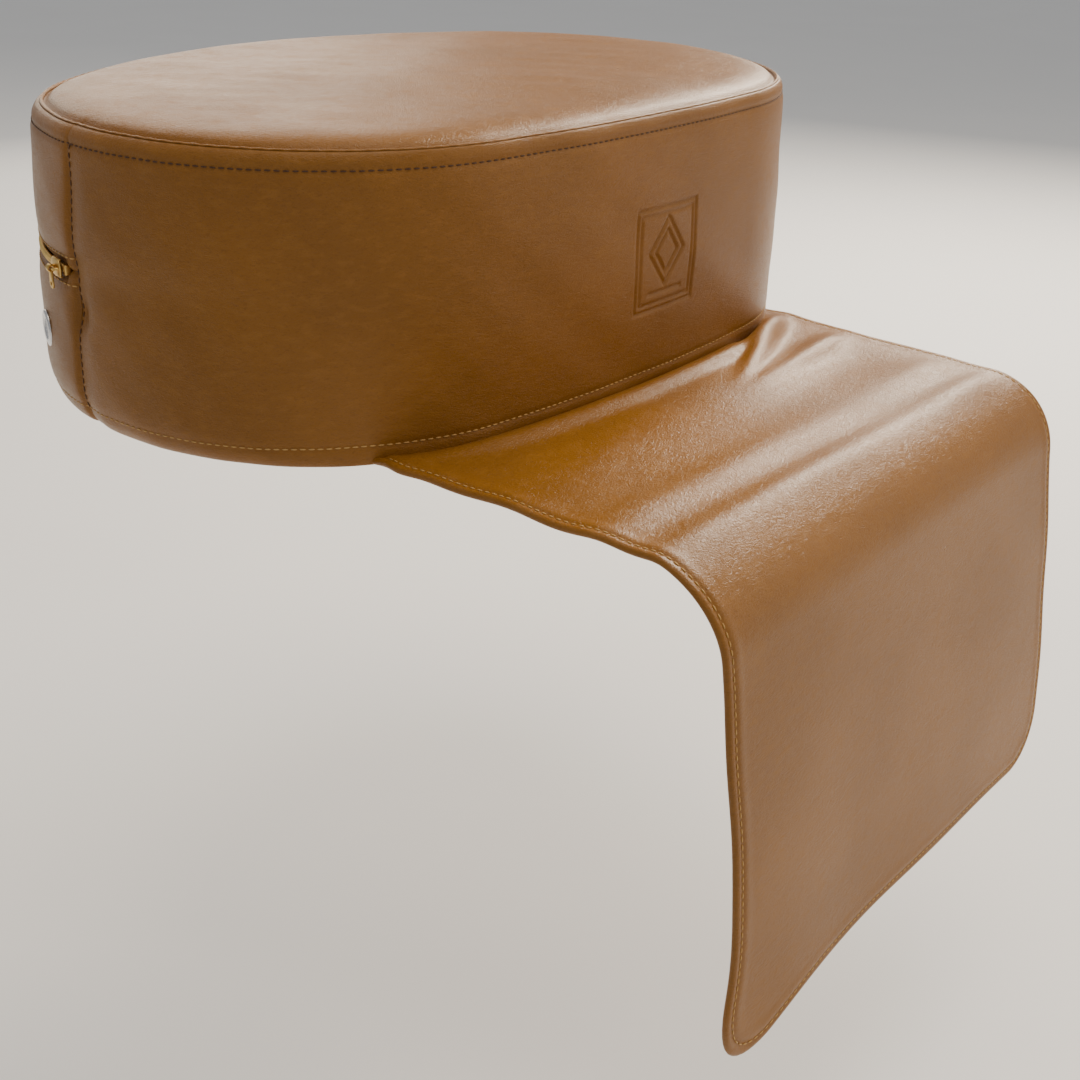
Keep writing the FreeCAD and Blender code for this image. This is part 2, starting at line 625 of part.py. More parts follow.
# ---------------------------------------------------------------- sewing thread
def make_threads():
    size = "[thread_size]"
    piece(ring("top_seam_thread", "-" + size + " / 2", "0", "[seam_height] - [top_stitch_drop]", size),
          "top_seam_thread")
    piece(ring("foot_seam_thread", "-" + size + " / 2", "0", "[foot_stitch_rise]", size),
          "foot_seam_thread")

    turn = math.degrees(math.asin((dim("seam_line") + dim("centre_setback")
                                   - dim("side_stitch_margin")) / dim("corner_radius")))
    low = "[foot_stitch_rise] + [side_stitch_low_gap]"
    high = "[seam_height] - [top_stitch_drop] - [side_stitch_high_gap]"
    point = corner_point(turn, dim("corner_radius"), evaluate(low))
    for name, x in (("left_seam_thread", point.x - dim("thread_size")), ("right_seam_thread", -point.x)):
        strip = doc.addObject("Part::Box", name)
        bind(strip, "Length", size)
        bind(strip, "Width", size)
        bind(strip, "Height", "%s - (%s)" % (high, low))
        strip.Placement = FreeCAD.Placement(V(x, point.y, point.z), FreeCAD.Rotation(V(0, 0, 1), 0))
        piece(strip, name)

    seat = new_body("hem_thread_seat")
    sketch = new_sketch(seat, "hem_thread_seat_plan",
                        "[flap_lift] + [lining_thickness] + [interlining_thickness] + [skin_thickness]")
    near, far = dim("flap_fold_start"), dim("roll_start")
    for side in (-1, 1):
        edges = []
        for distance, margin in ((near, dim("hem_margin")), (far, dim("hem_margin")),
                                 (far, dim("hem_margin") + dim("thread_size")),
                                 (near, dim("hem_margin") + dim("thread_size"))):
            edges.append(V(side * (half_width(distance) - margin), -distance, 0))
        closed_lines(sketch, edges)
    add_pad(seat, sketch, "hem_thread_seat_pad", size + " / 2")
    piece(seat, "hem_thread_seat")

    outer = new_body("hem_outer")
    sketch = new_sketch(outer, "hem_outer_plan", "-" + size + " / 2")
    apron_lines(sketch, dim("hem_margin"))
    pad = add_pad(outer, sketch, "hem_outer_pad", size + " / 2")
    round_foot(outer, pad, "hem_outer", "[apron_corner_radius] - [hem_margin]")
    inner = new_body("hem_inner")
    sketch = new_sketch(inner, "hem_inner_plan", "-" + size)
    apron_lines(sketch, dim("hem_margin") + dim("thread_size"))
    pad = add_pad(inner, sketch, "hem_inner_pad", "2 * " + size)
    round_foot(inner, pad, "hem_inner", "[apron_corner_radius] - [hem_margin] - [thread_size]")
    outer.Placement = roll_frame()
    inner.Placement = roll_frame()
    piece(joined("Cut", "hem_thread_apron", outer, inner), "hem_thread_apron")


make_cushion()
make_zip()
make_vent()
make_flap()
make_threads()
doc.recompute()

for thing in doc.Objects:
    bad = [state for state in thing.State if state in ("Invalid", "Error")]
    assert not bad, (thing.Name, thing.State)
os.makedirs("parts", exist_ok=True)
for thing in PIECES:
    shape = thing.Shape
    assert not shape.isNull() and shape.isValid(), thing.Label
    assert shape.Solids, thing.Label
    shape.exportStep("parts/%s.step" % thing.Label)
    box = shape.BoundBox
    print("%-24s %d solid(s) %12.1f mm3  x %7.1f..%7.1f  y %7.1f..%7.1f  z %7.1f..%7.1f" % (
        thing.Label, len(shape.Solids), shape.Volume,
        box.XMin, box.XMax, box.YMin, box.YMax, box.ZMin, box.ZMax))
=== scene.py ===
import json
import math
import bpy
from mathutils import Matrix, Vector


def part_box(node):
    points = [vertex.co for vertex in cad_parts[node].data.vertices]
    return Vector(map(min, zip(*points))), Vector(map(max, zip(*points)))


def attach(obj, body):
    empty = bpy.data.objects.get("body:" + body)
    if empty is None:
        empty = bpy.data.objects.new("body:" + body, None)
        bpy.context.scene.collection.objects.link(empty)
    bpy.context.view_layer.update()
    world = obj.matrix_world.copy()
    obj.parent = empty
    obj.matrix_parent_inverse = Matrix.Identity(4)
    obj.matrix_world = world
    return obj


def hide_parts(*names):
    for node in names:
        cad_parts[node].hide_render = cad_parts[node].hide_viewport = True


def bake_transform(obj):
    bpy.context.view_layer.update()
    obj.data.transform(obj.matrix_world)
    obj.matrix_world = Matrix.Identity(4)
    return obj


bl_info = {
    "name": "Booster cushion",
    "version": (1, 0, 0),
    "blender": (4, 5, 0),
    "location": "View3D > Sidebar > Booster",
    "description": "Builds a leatherette booster cushion with a seat flap round its packed frame",
    "category": "Object",
}

import bmesh
import bpy
import numpy as np
from bpy.props import FloatProperty, FloatVectorProperty, PointerProperty
from mathutils import Matrix, Vector

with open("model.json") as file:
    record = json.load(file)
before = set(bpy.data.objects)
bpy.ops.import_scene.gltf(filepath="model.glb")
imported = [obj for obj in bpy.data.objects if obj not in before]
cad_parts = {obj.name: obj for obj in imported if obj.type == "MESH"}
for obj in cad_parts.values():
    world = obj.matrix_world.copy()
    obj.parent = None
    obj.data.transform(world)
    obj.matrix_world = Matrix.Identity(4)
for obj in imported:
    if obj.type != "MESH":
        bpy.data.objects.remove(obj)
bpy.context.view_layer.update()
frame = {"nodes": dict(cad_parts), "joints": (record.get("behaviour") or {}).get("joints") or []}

MM = 0.001
ROOT_START = 126 * MM              # where the flap's cloth begins, in front of the cushion's middle
MARK_PLACE, MARK_REACH = 16 * MM, 31 * MM
ZIP_SEWN_SHUT = 9.5                # degrees round the left back corner
ZIP_FAR_END = 64.6
COLUMN = 2.2 * MM                  # between the columns of a band's mesh
BASE_CLOTH = 1.2 * MM
# how far a stitched path runs above the leather's face: on the wall, and on the flap
WALL_PATH = 0.12 * MM
HEM_PATH = 0.2 * MM


# ------------------------------------------------------------------ sizes and colours
def length(name, description, default):
    return FloatProperty(name=name, description=description, default=default * MM, unit="LENGTH", precision=4)


def angle(name, description, degrees):
    return FloatProperty(name=name, description=description, default=math.radians(degrees), subtype="ANGLE")


def colour(name, description, default):
    return FloatVectorProperty(name=name, description=description, default=default, subtype="COLOR",
                               size=3, min=0.0, max=1.0)


class CushionSizes(bpy.types.PropertyGroup):
    """Sizes of the cushion's cover"""

    front_radius: length("Front radius", "Gentle bow of the front", 1000)
    side_radius: length("Front corner radius", "Plan radius of the front corners", 140)
    corner_radius: length("Back corner radius", "Plan radius of the back corners", 158)
    seam_line: length("Upright seam", "How far behind the middle the upright seams stand", 2)
    foot_stitch: length("Foot stitching", "Height of the stitching above the foot", 10.0)
    top_stitch_drop: length("Top stitching", "How far the stitching lies below the top seam", 7.5)
    leather: length("Leather", "Thickness of the leatherette", 1.2)
    stitch_pitch: length("Stitch pitch", "Distance between stitches", 4.0)
    stitch_length: length("Stitch", "Length of one stitch", 2.9)
    thread: length("Thread", "Thickness of the thread", 0.8)


class FlapSizes(bpy.types.PropertyGroup):
    """Sizes of the flap"""

    root_width: length("Width at the cushion", "Width where the flap leaves the cushion", 337)
    fold_width: length("Width at the bend", "Width where the flap starts to bend", 322)
    foot_width: length("Width at the foot", "Width of the hanging edge", 316)
    thickness: length("Thickness", "All three layers together", 3.7)
    bend_radius: length("Bend radius", "Inner radius of the bend over the seat's edge", 38)
    hem_stitch: length("Hem stitching", "How far the stitching lies from the edge", 4.5)
    split: length("Split", "Where the lying part meets the bent part", 232)


class Finish(bpy.types.PropertyGroup):
    """Colours of the finishes"""

    tan: colour("Tan", "Leatherette where light falls on it", (0.262, 0.106, 0.012))
    # painted shade: the colour that darkens the hollows of the leatherette's grain
    crease_shade: colour("Umber", "Leatherette in its creases", (0.125, 0.042, 0.004))
    honey: colour("Honey", "Leatherette where it is rubbed", (0.400, 0.180, 0.035))
    thread: colour("Thread", "Sewing thread in the light rows", (0.640, 0.370, 0.110))
    # painted shade: the same thread darkened for the rows that lie in grooves
    shaded_thread: colour("Thread in painted shade", "Sewing thread in the sunk rows", (0.075, 0.024, 0.004))
    brass: colour("Brass", "Zip and pull", (0.780, 0.520, 0.170))


# ------------------------------------------------------------------ shader writing
def arithmetic(operation, reflected=False):
    """An operator of Wire that adds a Math node."""
    def apply(self, other):
        first, second = (other, self) if reflected else (self, other)
        return self.paint.node("ShaderNodeMath", {"operation": operation}, {0: first, 1: second})
    return apply


class Wire:
    """A socket in a shader, with arithmetic that adds Math nodes."""

    __add__, __radd__ = arithmetic("ADD"), arithmetic("ADD", True)
    __sub__, __rsub__ = arithmetic("SUBTRACT"), arithmetic("SUBTRACT", True)
    __mul__, __rmul__ = arithmetic("MULTIPLY"), arithmetic("MULTIPLY", True)

    def __init__(self, paint, socket):
        self.paint = paint
        self.socket = socket

    def smooth(self, low, high):
        """0 below low, 1 above high, smooth in between."""
        return self.paint.node("ShaderNodeMapRange", {"interpolation_type": "SMOOTHSTEP"},
                               {"Value": self, "From Min": low, "From Max": high})


class Paint:
    """A material under construction."""

    def __init__(self, name):
        self.material = bpy.data.materials.new(name)
        self.material.use_nodes = True
        self.tree = self.material.node_tree
        self.tree.nodes.clear()

    def feed(self, socket, value):
        """Link a wire to a socket, or set its value; a colour of three numbers is made opaque."""
        if isinstance(value, Wire):
            self.tree.links.new(value.socket, socket)
        else:
            socket.default_value = (*value, 1.0) if socket.type == "RGBA" and len(value) == 3 else value

    def node(self, kind, settings=None, values=None, output=0):
        """Add a node: its settings first, then the values or links of its sockets."""
        made = self.tree.nodes.new(kind)
        for key, value in (settings or {}).items():
            setattr(made, key, value)
        for key, value in (values or {}).items():
            self.feed(made.inputs[key], value)
        return Wire(self, made.outputs[output])

    def place(self):
        """Where a point lies in the object's own space, in metres."""
        return self.node("ShaderNodeTexCoord", output="Object")

    def noise(self, place, scale, detail=4.0, roughness=0.5, distortion=0.0, colour=False):
        values = {"Vector": place, "Scale": scale, "Detail": detail, "Roughness": roughness,
                  "Distortion": distortion}
        return self.node("ShaderNodeTexNoise", {}, values, output="Color" if colour else "Fac")

    def cells(self, place, scale, randomness=1.0):
        """Distance to the nearest of scattered points."""
        values = {"Vector": place, "Scale": scale, "Randomness": randomness}
        return self.node("ShaderNodeTexVoronoi", {"feature": "F1"}, values, output="Distance")

    def blend(self, share, first, second):
        """A colour between two, where share is 0 and 1."""
        return self.node("ShaderNodeMix", {"data_type": "RGBA"}, {0: share, 6: first, 7: second}, output=2)

    def shifted(self, place, offset):
        """A place pushed about by a colour, to bend a pattern."""
        return self.node("ShaderNodeVectorMath", {"operation": "ADD"}, {0: place, 1: offset})

    def scaled(self, vector, factor):
        return self.node("ShaderNodeVectorMath", {"operation": "SCALE"}, {0: vector, "Scale": factor})

    def bump(self, height, distance, strength=1.0, normal=None):
        values = {"Height": height, "Distance": distance, "Strength": strength}
        if normal is not None:
            values["Normal"] = normal
        return self.node("ShaderNodeBump", {}, values)

    def finish(self, **sockets):
        """Close the material with one surface shader; sockets use underscores for spaces."""
        values = {key.replace("_", " "): value for key, value in sockets.items()}
        shader = self.node("ShaderNodeBsdfPrincipled", {}, values)
        output = self.tree.nodes.new("ShaderNodeOutputMaterial")
        self.tree.links.new(shader.socket, output.inputs[0])
        return self.material


def material(name, build):
    """The material of that name, built the first time it is asked for."""
    return bpy.data.materials.get(name) or build(Paint(name))


def leatherette(paint):
    """Tan leatherette: fine pebbled grain, short creases, a satin film; painted shade darkens the grain's
    hollows.
    """
    finish = bpy.context.scene.booster_finish
    place = paint.place()
    streaked = paint.node("ShaderNodeMapping", {}, {"Vector": place, "Scale": (1.0, 1.0, 2.4)})
    bent = paint.shifted(streaked, paint.scaled(paint.noise(place, 160.0, 3.0, colour=True), 0.0016))
    pebbles = paint.cells(bent, 1150.0)
    grain = paint.noise(bent, 560.0, 4.0, 0.66, 0.9)
    broad = paint.noise(place, 9.0, 3.0).smooth(0.36, 0.66)
    rubbed = paint.noise(streaked, 120.0, 5.0, 0.62).smooth(0.46, 0.70)
    base = paint.blend(broad, tuple(finish.tan), tuple(c * 0.86 for c in finish.tan))
    base = paint.blend(rubbed * 0.16, base, tuple(finish.honey))
    # painted shade: the grain's hollows, where the bump is low, are darkened towards the crease colour
    base = paint.blend(grain.smooth(0.48, 0.34) * 0.30, base, tuple(finish.crease_shade))
    rough = 0.25 + 0.08 * paint.noise(place, 240.0, 3.0) + 0.07 * rubbed + 0.05 * broad
    hairs = paint.noise(bent, 300.0, 3.0, 0.6, 2.4)
    normal = paint.bump(paint.noise(bent, 110.0, 5.0, 0.62), 0.0008, 0.35)
    normal = paint.bump(hairs, 0.00055, 0.55, normal)
    normal = paint.bump(grain - pebbles * 0.30, 0.00034, 0.60, normal)
    return paint.finish(Base_Color=base, Roughness=rough, Normal=normal, IOR=1.34)


def sewing_thread(shade):
    """How to build twisted thread of one colour."""
    def build(paint):
        twist = paint.noise(paint.place(), 1400.0, 2.0)
        base = paint.blend(twist, tuple(c * 0.62 for c in shade), tuple(shade))
        return paint.finish(Base_Color=base, Roughness=0.5 + 0.2 * twist,
                            Normal=paint.bump(twist, 0.0002, 0.6))
    return build


def brass(paint):
    finish = bpy.context.scene.booster_finish
    place = paint.place()
    scuffs = paint.noise(place, 900.0, 4.0, 0.7)
    tarnish = paint.noise(place, 150.0, 3.0).smooth(0.45, 0.7)
    base = paint.blend(tarnish * 0.5, tuple(finish.brass), tuple(c * 0.55 for c in finish.brass))
    return paint.finish(Base_Color=base, Metallic=1.0, Roughness=0.22 + 0.22 * scuffs,
                        Normal=paint.bump(scuffs, 0.00004, 0.5))


def nickel(paint):
    place = paint.place()
    scuffs = paint.noise(place, 1100.0, 4.0, 0.7)
    base = paint.blend(scuffs, (0.60, 0.60, 0.61), (0.82, 0.82, 0.82))
    return paint.finish(Base_Color=base, Metallic=1.0, Roughness=0.16 + 0.2 * scuffs,
                        Normal=paint.bump(scuffs, 0.00003, 0.5))


def zip_cloth(paint):
    """Woven tape: a fine twill across and along."""
    place = paint.place()
    finish = bpy.context.scene.booster_finish
    weave = paint.cells(place, 1500.0, randomness=0.15)
    base = paint.blend(weave, tuple(c * 0.55 for c in finish.tan), tuple(c * 0.95 for c in finish.tan))
    return paint.finish(Base_Color=base, Roughness=0.85, Normal=paint.bump(weave, 0.0003, 0.7))


def base_cloth(paint):
    """Dark non-slip cloth with small raised dots."""
    place = paint.place()
    threads = paint.cells(place, 1100.0, randomness=0.2)
    dots = 1 - paint.cells(place, 210.0, randomness=0.0).smooth(0.22, 0.34)
    base = paint.blend(dots, (0.045, 0.030, 0.020), (0.020, 0.014, 0.010))
    base = paint.blend(threads * 0.5, base, (0.07, 0.05, 0.035))
    normal = paint.bump(dots, 0.0006, 0.7, paint.bump(threads, 0.0003, 0.6))
    return paint.finish(Base_Color=base, Roughness=0.82 - 0.25 * dots, Normal=normal)


def leather():
    return material("Leatherette", leatherette)


# ------------------------------------------------------------------ making meshes
def new_object(name, mesh, *materials):
    made = bpy.data.objects.new(name, mesh)
    bpy.context.scene.collection.objects.link(made)
    for finish in materials:
        made.data.materials.append(finish)
    return made


def mesh_from(name, points, faces, sharp=None):
    """A mesh of numpy points and faces, smooth but for edges sharper than an angle."""
    mesh = bpy.data.meshes.new(name)
    points = np.asarray(points, float).reshape(-1, 3).tolist()
    mesh.from_pydata(points, [], [tuple(map(int, face)) for face in faces])
    mesh.validate()
    mesh.shade_smooth()
    if sharp is not None:
        mesh.set_sharp_from_angle(angle=math.radians(sharp))
    return mesh


def grid_faces(rows, columns, closed=False, first=0):
    """Quads of a grid, rows by columns; closed joins its last column to its first."""
    faces = []
    span = columns if closed else columns - 1
    for r in range(rows - 1):
        for c in range(span):
            a, b = first + r * columns + c, first + r * columns + (c + 1) % columns
            faces.append((a, b, b + columns, a + columns))
    return faces


def freeze(made):
    """Turn modifiers into plain mesh."""
    graph = bpy.context.evaluated_depsgraph_get()
    graph.update()
    mesh = bpy.data.meshes.new_from_object(made.evaluated_get(graph))
    made.modifiers.clear()
    old = made.data
    made.data = mesh
    if not old.users:
        bpy.data.meshes.remove(old)
    mesh.name = made.name
    return made


def skin(made, thickness):
    """Give a surface the thickness of leather, inwards."""
    solid = made.modifiers.new("Thickness", "SOLIDIFY")
    solid.thickness = thickness
    solid.offset = -1.0
    return freeze(made)


def worked(made, work_on):
    """Pass a piece's mesh through bmesh."""
    work = bmesh.new()
    work.from_mesh(made.data)
    work_on(work)
    bmesh.ops.recalc_face_normals(work, faces=work.faces)
    work.to_mesh(made.data)
    work.free()
    return made


def outward(made):
    """Join doubled points of a closed mesh and turn its faces outwards."""
    return worked(made, lambda work: bmesh.ops.remove_doubles(work, verts=work.verts, dist=1e-6))


def declare(made, body, slot, *nodes, fill=None):
    """Say which body a piece rides on and hide the nodes that it stands for; slot (its finish) and fill (how
    full it is) are not used.
    """
    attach(made, body)
    if nodes:
        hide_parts(*nodes)


def leather_piece(name, points, faces, *nodes, fill=0.9):
    """One padded piece of the cushion's leatherette cover, inwards from its outer face."""
    made = new_object(name, mesh_from(name, points, faces), leather())
    made = skin(made, bpy.context.scene.booster_cushion.leather)
    declare(made, "root", "leatherette", *nodes, fill=fill)


def disc(points):
    """Close a stack of rings with a fan to the middle of the last: points and faces."""
    count = points.shape[1]
    flat = points.reshape(-1, 3)
    centre = len(flat)
    flat = np.vstack([flat, [[0, 0, flat[-count:, 2].mean()]]])
    faces = grid_faces(len(points), count, closed=True)
    faces += [(centre - count + i, centre - count + (i + 1) % count, centre) for i in range(count)]
    return flat, faces


def inwards(ring, steps, rise=0.0):
    """Rings between a ring and the cushion's middle, rising towards it."""
    for share in np.linspace(0, 1, steps)[1:-1]:
        yield ring * (1 - share, 1 - share, 1) + (0, 0, rise * (1 - (1 - share) ** 2))


def gauss(value, width):
    return np.exp(-(value / width) ** 2)


def ease(value, low, high):
    share = np.clip((value - low) / (high - low), 0.0, 1.0)
    return share * share * (3 - 2 * share)


def ripple(a, b, seed, waves=7, shortest=0.03, longest=0.12):
    """A smooth random surface of two coordinates, about -1 to 1."""
    dice = np.random.default_rng(seed)
    total = np.zeros(np.broadcast(a, b).shape)
    for _ in range(waves):
        turn, phase = dice.uniform(0, math.pi), dice.uniform(0, 2 * math.pi)
        pitch = dice.uniform(shortest, longest)
        total = total + np.sin((a * math.cos(turn) + b * math.sin(turn)) * 2 * math.pi / pitch + phase)
    return total / math.sqrt(waves)


# ------------------------------------------------------------------ repeats along a path
def repeat_tree():
    """Geometry nodes that place small rounded pieces along a path."""
    name = "Repeat along path"
    tree = bpy.data.node_groups.get(name)
    if tree:
        return tree
    tree = bpy.data.node_groups.new(name, "GeometryNodeTree")
    tree.interface.new_socket("Geometry", in_out="INPUT", socket_type="NodeSocketGeometry")
    for label in ("Pitch", "Length", "Thickness"):
        tree.interface.new_socket(label, in_out="INPUT", socket_type="NodeSocketFloat")
    tree.interface.new_socket("Sides", in_out="INPUT", socket_type="NodeSocketInt")
    tree.interface.new_socket("Material", in_out="INPUT", socket_type="NodeSocketMaterial")
    tree.interface.new_socket("Geometry", in_out="OUTPUT", socket_type="NodeSocketGeometry")

    def add(kind, **settings):
        made = tree.nodes.new(kind)
        for key, value in settings.items():
            setattr(made, key, value)
        return made

    source, result = add("NodeGroupInput"), add("NodeGroupOutput")
    curve = add("GeometryNodeMeshToCurve")
    points = add("GeometryNodeCurveToPoints", mode="LENGTH")
    bead = add("GeometryNodeMeshUVSphere")
    bead.inputs["Rings"].default_value = 5
    bead.inputs["Radius"].default_value = 0.5
    stretch = add("ShaderNodeCombineXYZ")
    shape = add("GeometryNodeTransform")
    placed = add("GeometryNodeInstanceOnPoints")
    solid = add("GeometryNodeRealizeInstances")
    painted = add("GeometryNodeSetMaterial")
    for start, outlet, end, inlet in (
            (source, "Geometry", curve, 0), (curve, 0, points, "Curve"), (source, "Pitch", points, "Length"),
            (source, "Sides", bead, "Segments"), (source, "Thickness", stretch, 0),
            (source, "Thickness", stretch, 1), (source, "Length", stretch, 2), (bead, 0, shape, "Geometry"),
            (stretch, 0, shape, "Scale"), (points, "Points", placed, "Points"),
            (points, "Rotation", placed, "Rotation"), (shape, 0, placed, "Instance"), (placed, 0, solid, 0),
            (solid, 0, painted, "Geometry"), (source, "Material", painted, "Material"),
            (painted, 0, result, 0)):
        tree.links.new(start.outputs[outlet], end.inputs[inlet])
    return tree


def repeat_along(name, paths, pitch, bead_length, thickness, sides, finish):
    """Beads along one or more paths, as one plain mesh."""
    points, edges = [], []
    for path in paths:
        first = len(points)
        points += [tuple(p) for p in path]
        edges += [(first + i, first + i + 1) for i in range(len(path) - 1)]
    mesh = bpy.data.meshes.new(name)
    mesh.from_pydata(points, edges, [])
    made = new_object(name, mesh)
    tree = repeat_tree()
    modifier = made.modifiers.new("Repeat", "NODES")
    modifier.node_group = tree
    values = {"Pitch": pitch, "Length": bead_length, "Thickness": thickness, "Sides": sides,
              "Material": finish}
    for socket in tree.interface.items_tree:
        if socket.in_out == "INPUT" and socket.name in values:
            modifier[socket.identifier] = values[socket.name]
    freeze(made)
    if not made.data.materials:
        made.data.materials.append(finish)
    made.data.shade_smooth()
    return made


def stitches(name, *paths, shaded=False):
    """Rows of single stitches; rows sewn in a groove take thread darkened with painted shade."""
    sizes, finish = bpy.context.scene.booster_cushion, bpy.context.scene.booster_finish
    # the darker thread is painted shade, not a thread of another colour
    thread = material("Thread in painted shade", sewing_thread(finish.shaded_thread)) if shaded else \
        material("Thread", sewing_thread(finish.thread))
    return repeat_along(name, paths, sizes.stitch_pitch, sizes.stitch_length, sizes.thread, 6, thread)


# ------------------------------------------------------------------ the cushion's plan and walls
class Plan:
    """The cushion's outline: six tangent arcs, walked anticlockwise from the middle of the front."""

    def __init__(self, sizes):
        low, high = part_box("bottom_panel")
        side, corner, bow = sizes.side_radius, sizes.corner_radius, sizes.front_radius
        side_x, corner_x = high.x - side, high.x - corner
        middle = low.y + bow - math.sqrt((bow - side) ** 2 - side_x ** 2)
        reach = high.y - middle - corner
        drop = (corner_x ** 2 - reach ** 2) / (2 * reach)
        front_y, back_y = low.y + bow, middle - drop
        front_turn = math.atan2(middle - front_y, side_x)
        back_turn = math.atan2(middle - back_y, corner_x)
        quarter, half = math.pi / 2, math.pi
        self.corner = Vector((-corner_x, middle))
        self.arcs = [
            ((0, front_y), bow, -quarter, front_turn),
            ((side_x, middle), side, front_turn, 0),
            ((corner_x, middle), corner, 0, back_turn),
            ((0, back_y), high.y - back_y, back_turn, half - back_turn),
            ((-corner_x, middle), corner, half - back_turn, half),
            ((-side_x, middle), side, half, half - front_turn),
            ((0, front_y), bow, half - front_turn, 2 * half - quarter),
        ]
        lengths = [radius * (end - start) for _, radius, start, end in self.arcs]
        self.marks = np.concatenate([[0.0], np.cumsum(lengths)])
        self.length = self.marks[-1]
        seam_turn = math.asin((sizes.seam_line - middle) / corner)
        self.seam = self.marks[2] + corner * seam_turn

    def at(self, walk):
        """Points and outward normals at distances along the outline."""
        walk = np.mod(np.asarray(walk, float), self.length)
        points = np.zeros(walk.shape + (2,))
        normals = np.zeros(walk.shape + (2,))
        for (centre, radius, start, _), low, high in zip(self.arcs, self.marks, self.marks[1:]):
            here = (walk >= low) & (walk <= high)
            turn = start + (walk[here] - low) / radius
            normal = np.stack([np.cos(turn), np.sin(turn)], -1)
            normals[here] = normal
            points[here] = np.array(centre) + radius * normal
        return points, normals

    def apart(self, walk, place):
        """How far past a place the walk has come, the short way round."""
        return np.mod(walk - place + self.length / 2, self.length) - self.length / 2

    def left_corner(self, degrees):
        """Distance along the outline of a place on the left back corner, in degrees from -X."""
        return self.marks[5] - self.arcs[4][1] * math.radians(degrees)


class Wall:
    """How far the cover stands out from the plan at each height."""

    def __init__(self, plan):
        self.plan = plan
        self.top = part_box("front_band")[1].z
        self.zip_height = (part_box("zip_teeth_lower")[0].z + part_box("zip_teeth_upper")[1].z) / 2
        self.shoulder = 10.5 * MM

    def shares(self, walk):
        """How much a place belongs to the cushion's ends, and to its left end."""
        _, normal = self.plan.at(walk)
        ends = normal[..., 0] ** 2
        left = ease(-0.95 * normal[..., 0] + 0.30 * normal[..., 1], 0.25, 1.0)
        return ends, left

    def foot(self, walk):
        """Height and depth of the rounding at the foot."""
        _, left = self.shares(walk)
        return (4.5 + 19.5 * left) * MM, (1.5 + 8.6 * left) * MM

    def depth(self, walk):
        """How far the shoulder leans in to the top seam."""
        ends, _ = self.shares(walk)
        return (2.6 + 3.4 * ends) * MM

    def offset(self, walk, height):
        """The wall between its foot's rounding and its shoulder."""
        ends, left = self.shares(walk)
        up = np.clip(height / self.top, 0, 1)
        low = 0.4 + 1.6 * ends + 2.6 * left
        high = -0.3 - 3.4 * ends - 0.3 * left
        swell = (1.3 + 0.2 * ends) * np.sin(math.pi * up)
        out = (low + (high - low) * up + swell) * MM
        points, _ = self.plan.at(walk)
        out = out + 0.35 * MM * ripple(points[..., 0] + height * 1.4, points[..., 1], 3)
        for seam, side in ((-self.plan.seam, 1), (self.plan.seam, -1)):
            gap = self.plan.apart(walk, seam) * side
            groove = 1.5 * MM * gauss(gap, 1.9 * MM) + 1.3 * MM * gauss(gap - 4 * MM, 7 * MM)
            out = out - groove * (1 - 0.8 * ease(height, self.top - 26 * MM, self.top))
        pinch = self.plan.apart(walk, 4 * MM - self.plan.seam)
        out = out - 3.0 * MM * gauss(pinch, 8 * MM) * gauss(height - 58 * MM, 8 * MM)
        out = out - 1.6 * MM * gauss(height - self.zip_height, 11 * MM) * left
        return out

    def surface(self, walk, height, inwards=0.0):
        """Points of the wall: height may pass into the foot's rounding and the shoulder's."""
        points, normal = self.plan.at(walk)
        out = self.offset(walk, height) - inwards
        rise, depth = self.foot(walk)
        down = np.clip((rise - height) / rise, 0, 1)
        out = out - depth * (1 - np.sqrt(np.maximum(1 - down ** 2, 0)))
        up = np.clip((height - self.top + self.shoulder) / self.shoulder, 0, 1)
        out = out - self.depth(walk) * (1 - np.sqrt(np.maximum(1 - up ** 2, 0)))
        sizes = bpy.context.scene.booster_cushion
        out = out - 0.75 * MM * gauss(height - self.top + sizes.top_stitch_drop, 1.9 * MM)
        out = out - 0.55 * MM * gauss(height - sizes.foot_stitch, 1.5 * MM)
        flat = points + normal * out[..., None]
        return np.concatenate([flat, np.broadcast_to(height, walk.shape)[..., None]], -1)


def heights(wall, walk, fine=()):
    """Rows of heights from foot to top seam, close together where the wall turns."""
    rise, _ = wall.foot(walk)
    turns = np.radians(np.linspace(88, 0, 14))
    low = [rise * (1 - np.sin(t)) + 0.2 * MM for t in turns]
    start, end = rise + 0.2 * MM, wall.top - wall.shoulder
    steps = sorted(set(np.linspace(0.0, 1.0, 26)[1:]) | set(np.linspace(0.008, 0.088, 10)) | set(fine))
    middle = [start + (end - start) * s for s in steps]
    high = [end + wall.shoulder * np.sin(t) + 0 * walk for t in np.radians(np.linspace(0, 88, 16)[1:])]
    return np.array(low + middle + high)


def walk_steps(start, end, spacing, fine=()):
    """Distances along the outline, closer together at both ends and where asked."""
    near = np.array([0, 0.4, 0.8, 1.3, 1.9, 2.7, 3.7, 5.0, 6.6, 8.4, 10.5, 13]) * MM
    count = int((end - start - 2 * near[-1]) / spacing)
    middle = np.linspace(start + near[-1], end - near[-1], count)[1:-1]
    steps = np.concatenate([start + near, middle, end - near[::-1]])
    for low, high, gap in fine:
        steps = steps[(steps < low) | (steps > high)]
        steps = np.concatenate([steps, np.arange(low, high, gap)])
    return np.unique(np.round(steps, 7))


